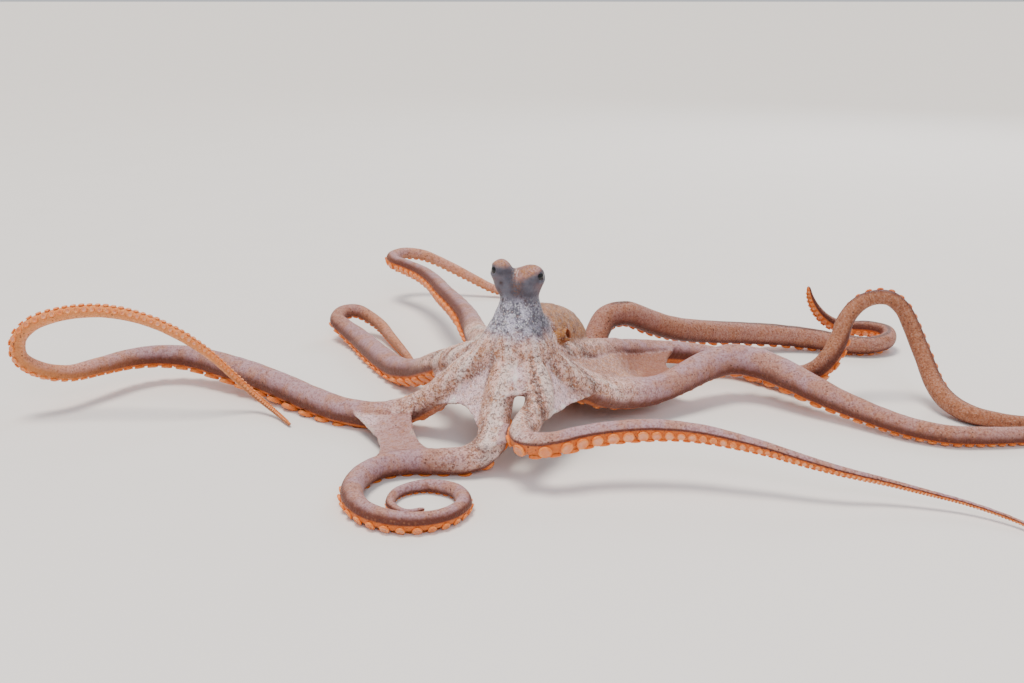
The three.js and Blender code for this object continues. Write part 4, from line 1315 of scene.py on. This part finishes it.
class OCTOPUS_OT_eyes(bpy.types.Operator):
    """Set an eyeball with a bulging clear front behind each pair of lids"""

    bl_idname = "octopus.eyes"
    bl_label = "Eyes"

    def execute(self, context):
        sizes = context.scene.octopus_sizes
        material = eye_material(context.scene.octopus_colours)
        for name, eye in EYES.items():
            centre = Vector(to_frame(eye["centre"]))
            gaze = Vector(eye["gaze"]).normalized()
            side = Vector((0, 0, 1)).cross(gaze).normalized()
            up = gaze.cross(side)
            deselect_all()
            radius = sizes.eye_radius
            bpy.ops.mesh.primitive_uv_sphere_add(segments=48, ring_count=32, radius=radius)
            ball = bpy.context.object
            ball.name = "eyeball_" + name.split("_")[1]
            marks = []
            for vertex in ball.data.vertices:
                level = vertex.co.z / radius
                beyond = (level - CORNEA_START) / (1 - CORNEA_START)
                vertex.co.z += radius * CORNEA_BULGE * max(beyond, 0)
                marks.append((vertex.co.x / radius, vertex.co.y / radius, level))
            turn = Matrix((side, up, gaze)).transposed().to_4x4()
            ball.data.transform(Matrix.Translation(centre) @ turn)
            store(ball, "gaze", marks, "FLOAT_VECTOR")
            ball.data.materials.append(material)
            finish_piece(ball, [name])
        return {"FINISHED"}


class OCTOPUS_OT_stage(bpy.types.Operator):
    """Set the plain floor, the soft lights and the camera"""

    bl_idname = "octopus.stage"
    bl_label = "Stage"

    def execute(self, context):
        deselect_all()
        bpy.ops.mesh.primitive_plane_add(size=FLOOR_WIDTH, location=(0, 0, 0))
        floor = bpy.context.object
        floor.name = "studio_floor"
        floor.data.materials.append(floor_material(context.scene.octopus_colours))

        def lamp(name, kind, power, tint, place, aim=(0, 0, 0), **settings):
            light = bpy.data.lights.new(name, kind)
            light.energy = power
            light.color = linear(tint)[:3]
            for key, value in settings.items():
                setattr(light, key, value)
            made = new_object(name, light)
            made.location = place
            made.rotation_euler = (Vector(aim) - Vector(place)).to_track_quat("-Z", "Y").to_euler()

        lamp("fill", "AREA", 6.5, "#f6f2ff", (0.2, -1.3, 0.9), shape="DISK", size=0.7)
        lamp("rim", "AREA", 6, "#f4f7ff", (0.7, 1.2, 0.8), (0, 0, 0.02), shape="DISK", size=0.6)
        lamp("key", "SUN", 3.5, "#fff3e6", (-0.2, 0.14, 1), angle=math.radians(24))
        world = bpy.data.worlds.new("studio_air")
        world.use_nodes = True
        sky = world.node_tree.nodes["Background"]
        sky.inputs[0].default_value = linear("#e8eaee")
        sky.inputs[1].default_value = 0.8
        context.scene.world = world

        camera = bpy.data.cameras.new("camera")
        camera.sensor_fit = "HORIZONTAL"
        camera.sensor_width = 36  # mm, as the lens is
        camera.lens = context.scene.octopus_sizes.lens
        camera.clip_start, camera.clip_end = 0.01, 1000
        made = new_object("camera", camera)
        made.location = to_frame(CAMERA_PLACE)
        made.rotation_euler = (math.radians(90 - CAMERA_PITCH), 0, 0)
        context.scene.camera = made
        return {"FINISHED"}


class OCTOPUS_PT_panel(bpy.types.Panel):
    """Buttons that build the octopus piece by piece"""

    bl_idname = "OCTOPUS_PT_panel"
    bl_label = "Longarm octopus"
    bl_space_type = "VIEW_3D"
    bl_region_type = "UI"
    bl_category = "Octopus"

    def draw(self, context):
        for group in (context.scene.octopus_sizes, context.scene.octopus_colours):
            column = self.layout.column(align=True)
            for name in group.bl_rna.properties.keys():
                if name not in ("rna_type", "name"):
                    column.prop(group, name)
        for operator in OPERATORS:
            self.layout.operator(operator.bl_idname)


OPERATORS = (OCTOPUS_OT_skin, OCTOPUS_OT_suckers, OCTOPUS_OT_eyes, OCTOPUS_OT_stage)
CLASSES = (OctopusSizes, OctopusColours, *OPERATORS, OCTOPUS_PT_panel)


def register():
    for made in CLASSES:
        bpy.utils.register_class(made)
    bpy.types.Scene.octopus_sizes = bpy.props.PointerProperty(type=OctopusSizes)
    bpy.types.Scene.octopus_colours = bpy.props.PointerProperty(type=OctopusColours)


def unregister():
    del bpy.types.Scene.octopus_colours
    del bpy.types.Scene.octopus_sizes
    for made in reversed(CLASSES):
        bpy.utils.unregister_class(made)


def main():
    register()
    for operator in OPERATORS:
        group, name = operator.bl_idname.split(".")
        getattr(getattr(bpy.ops, group), name)()


if __name__ == "__main__":
    main()
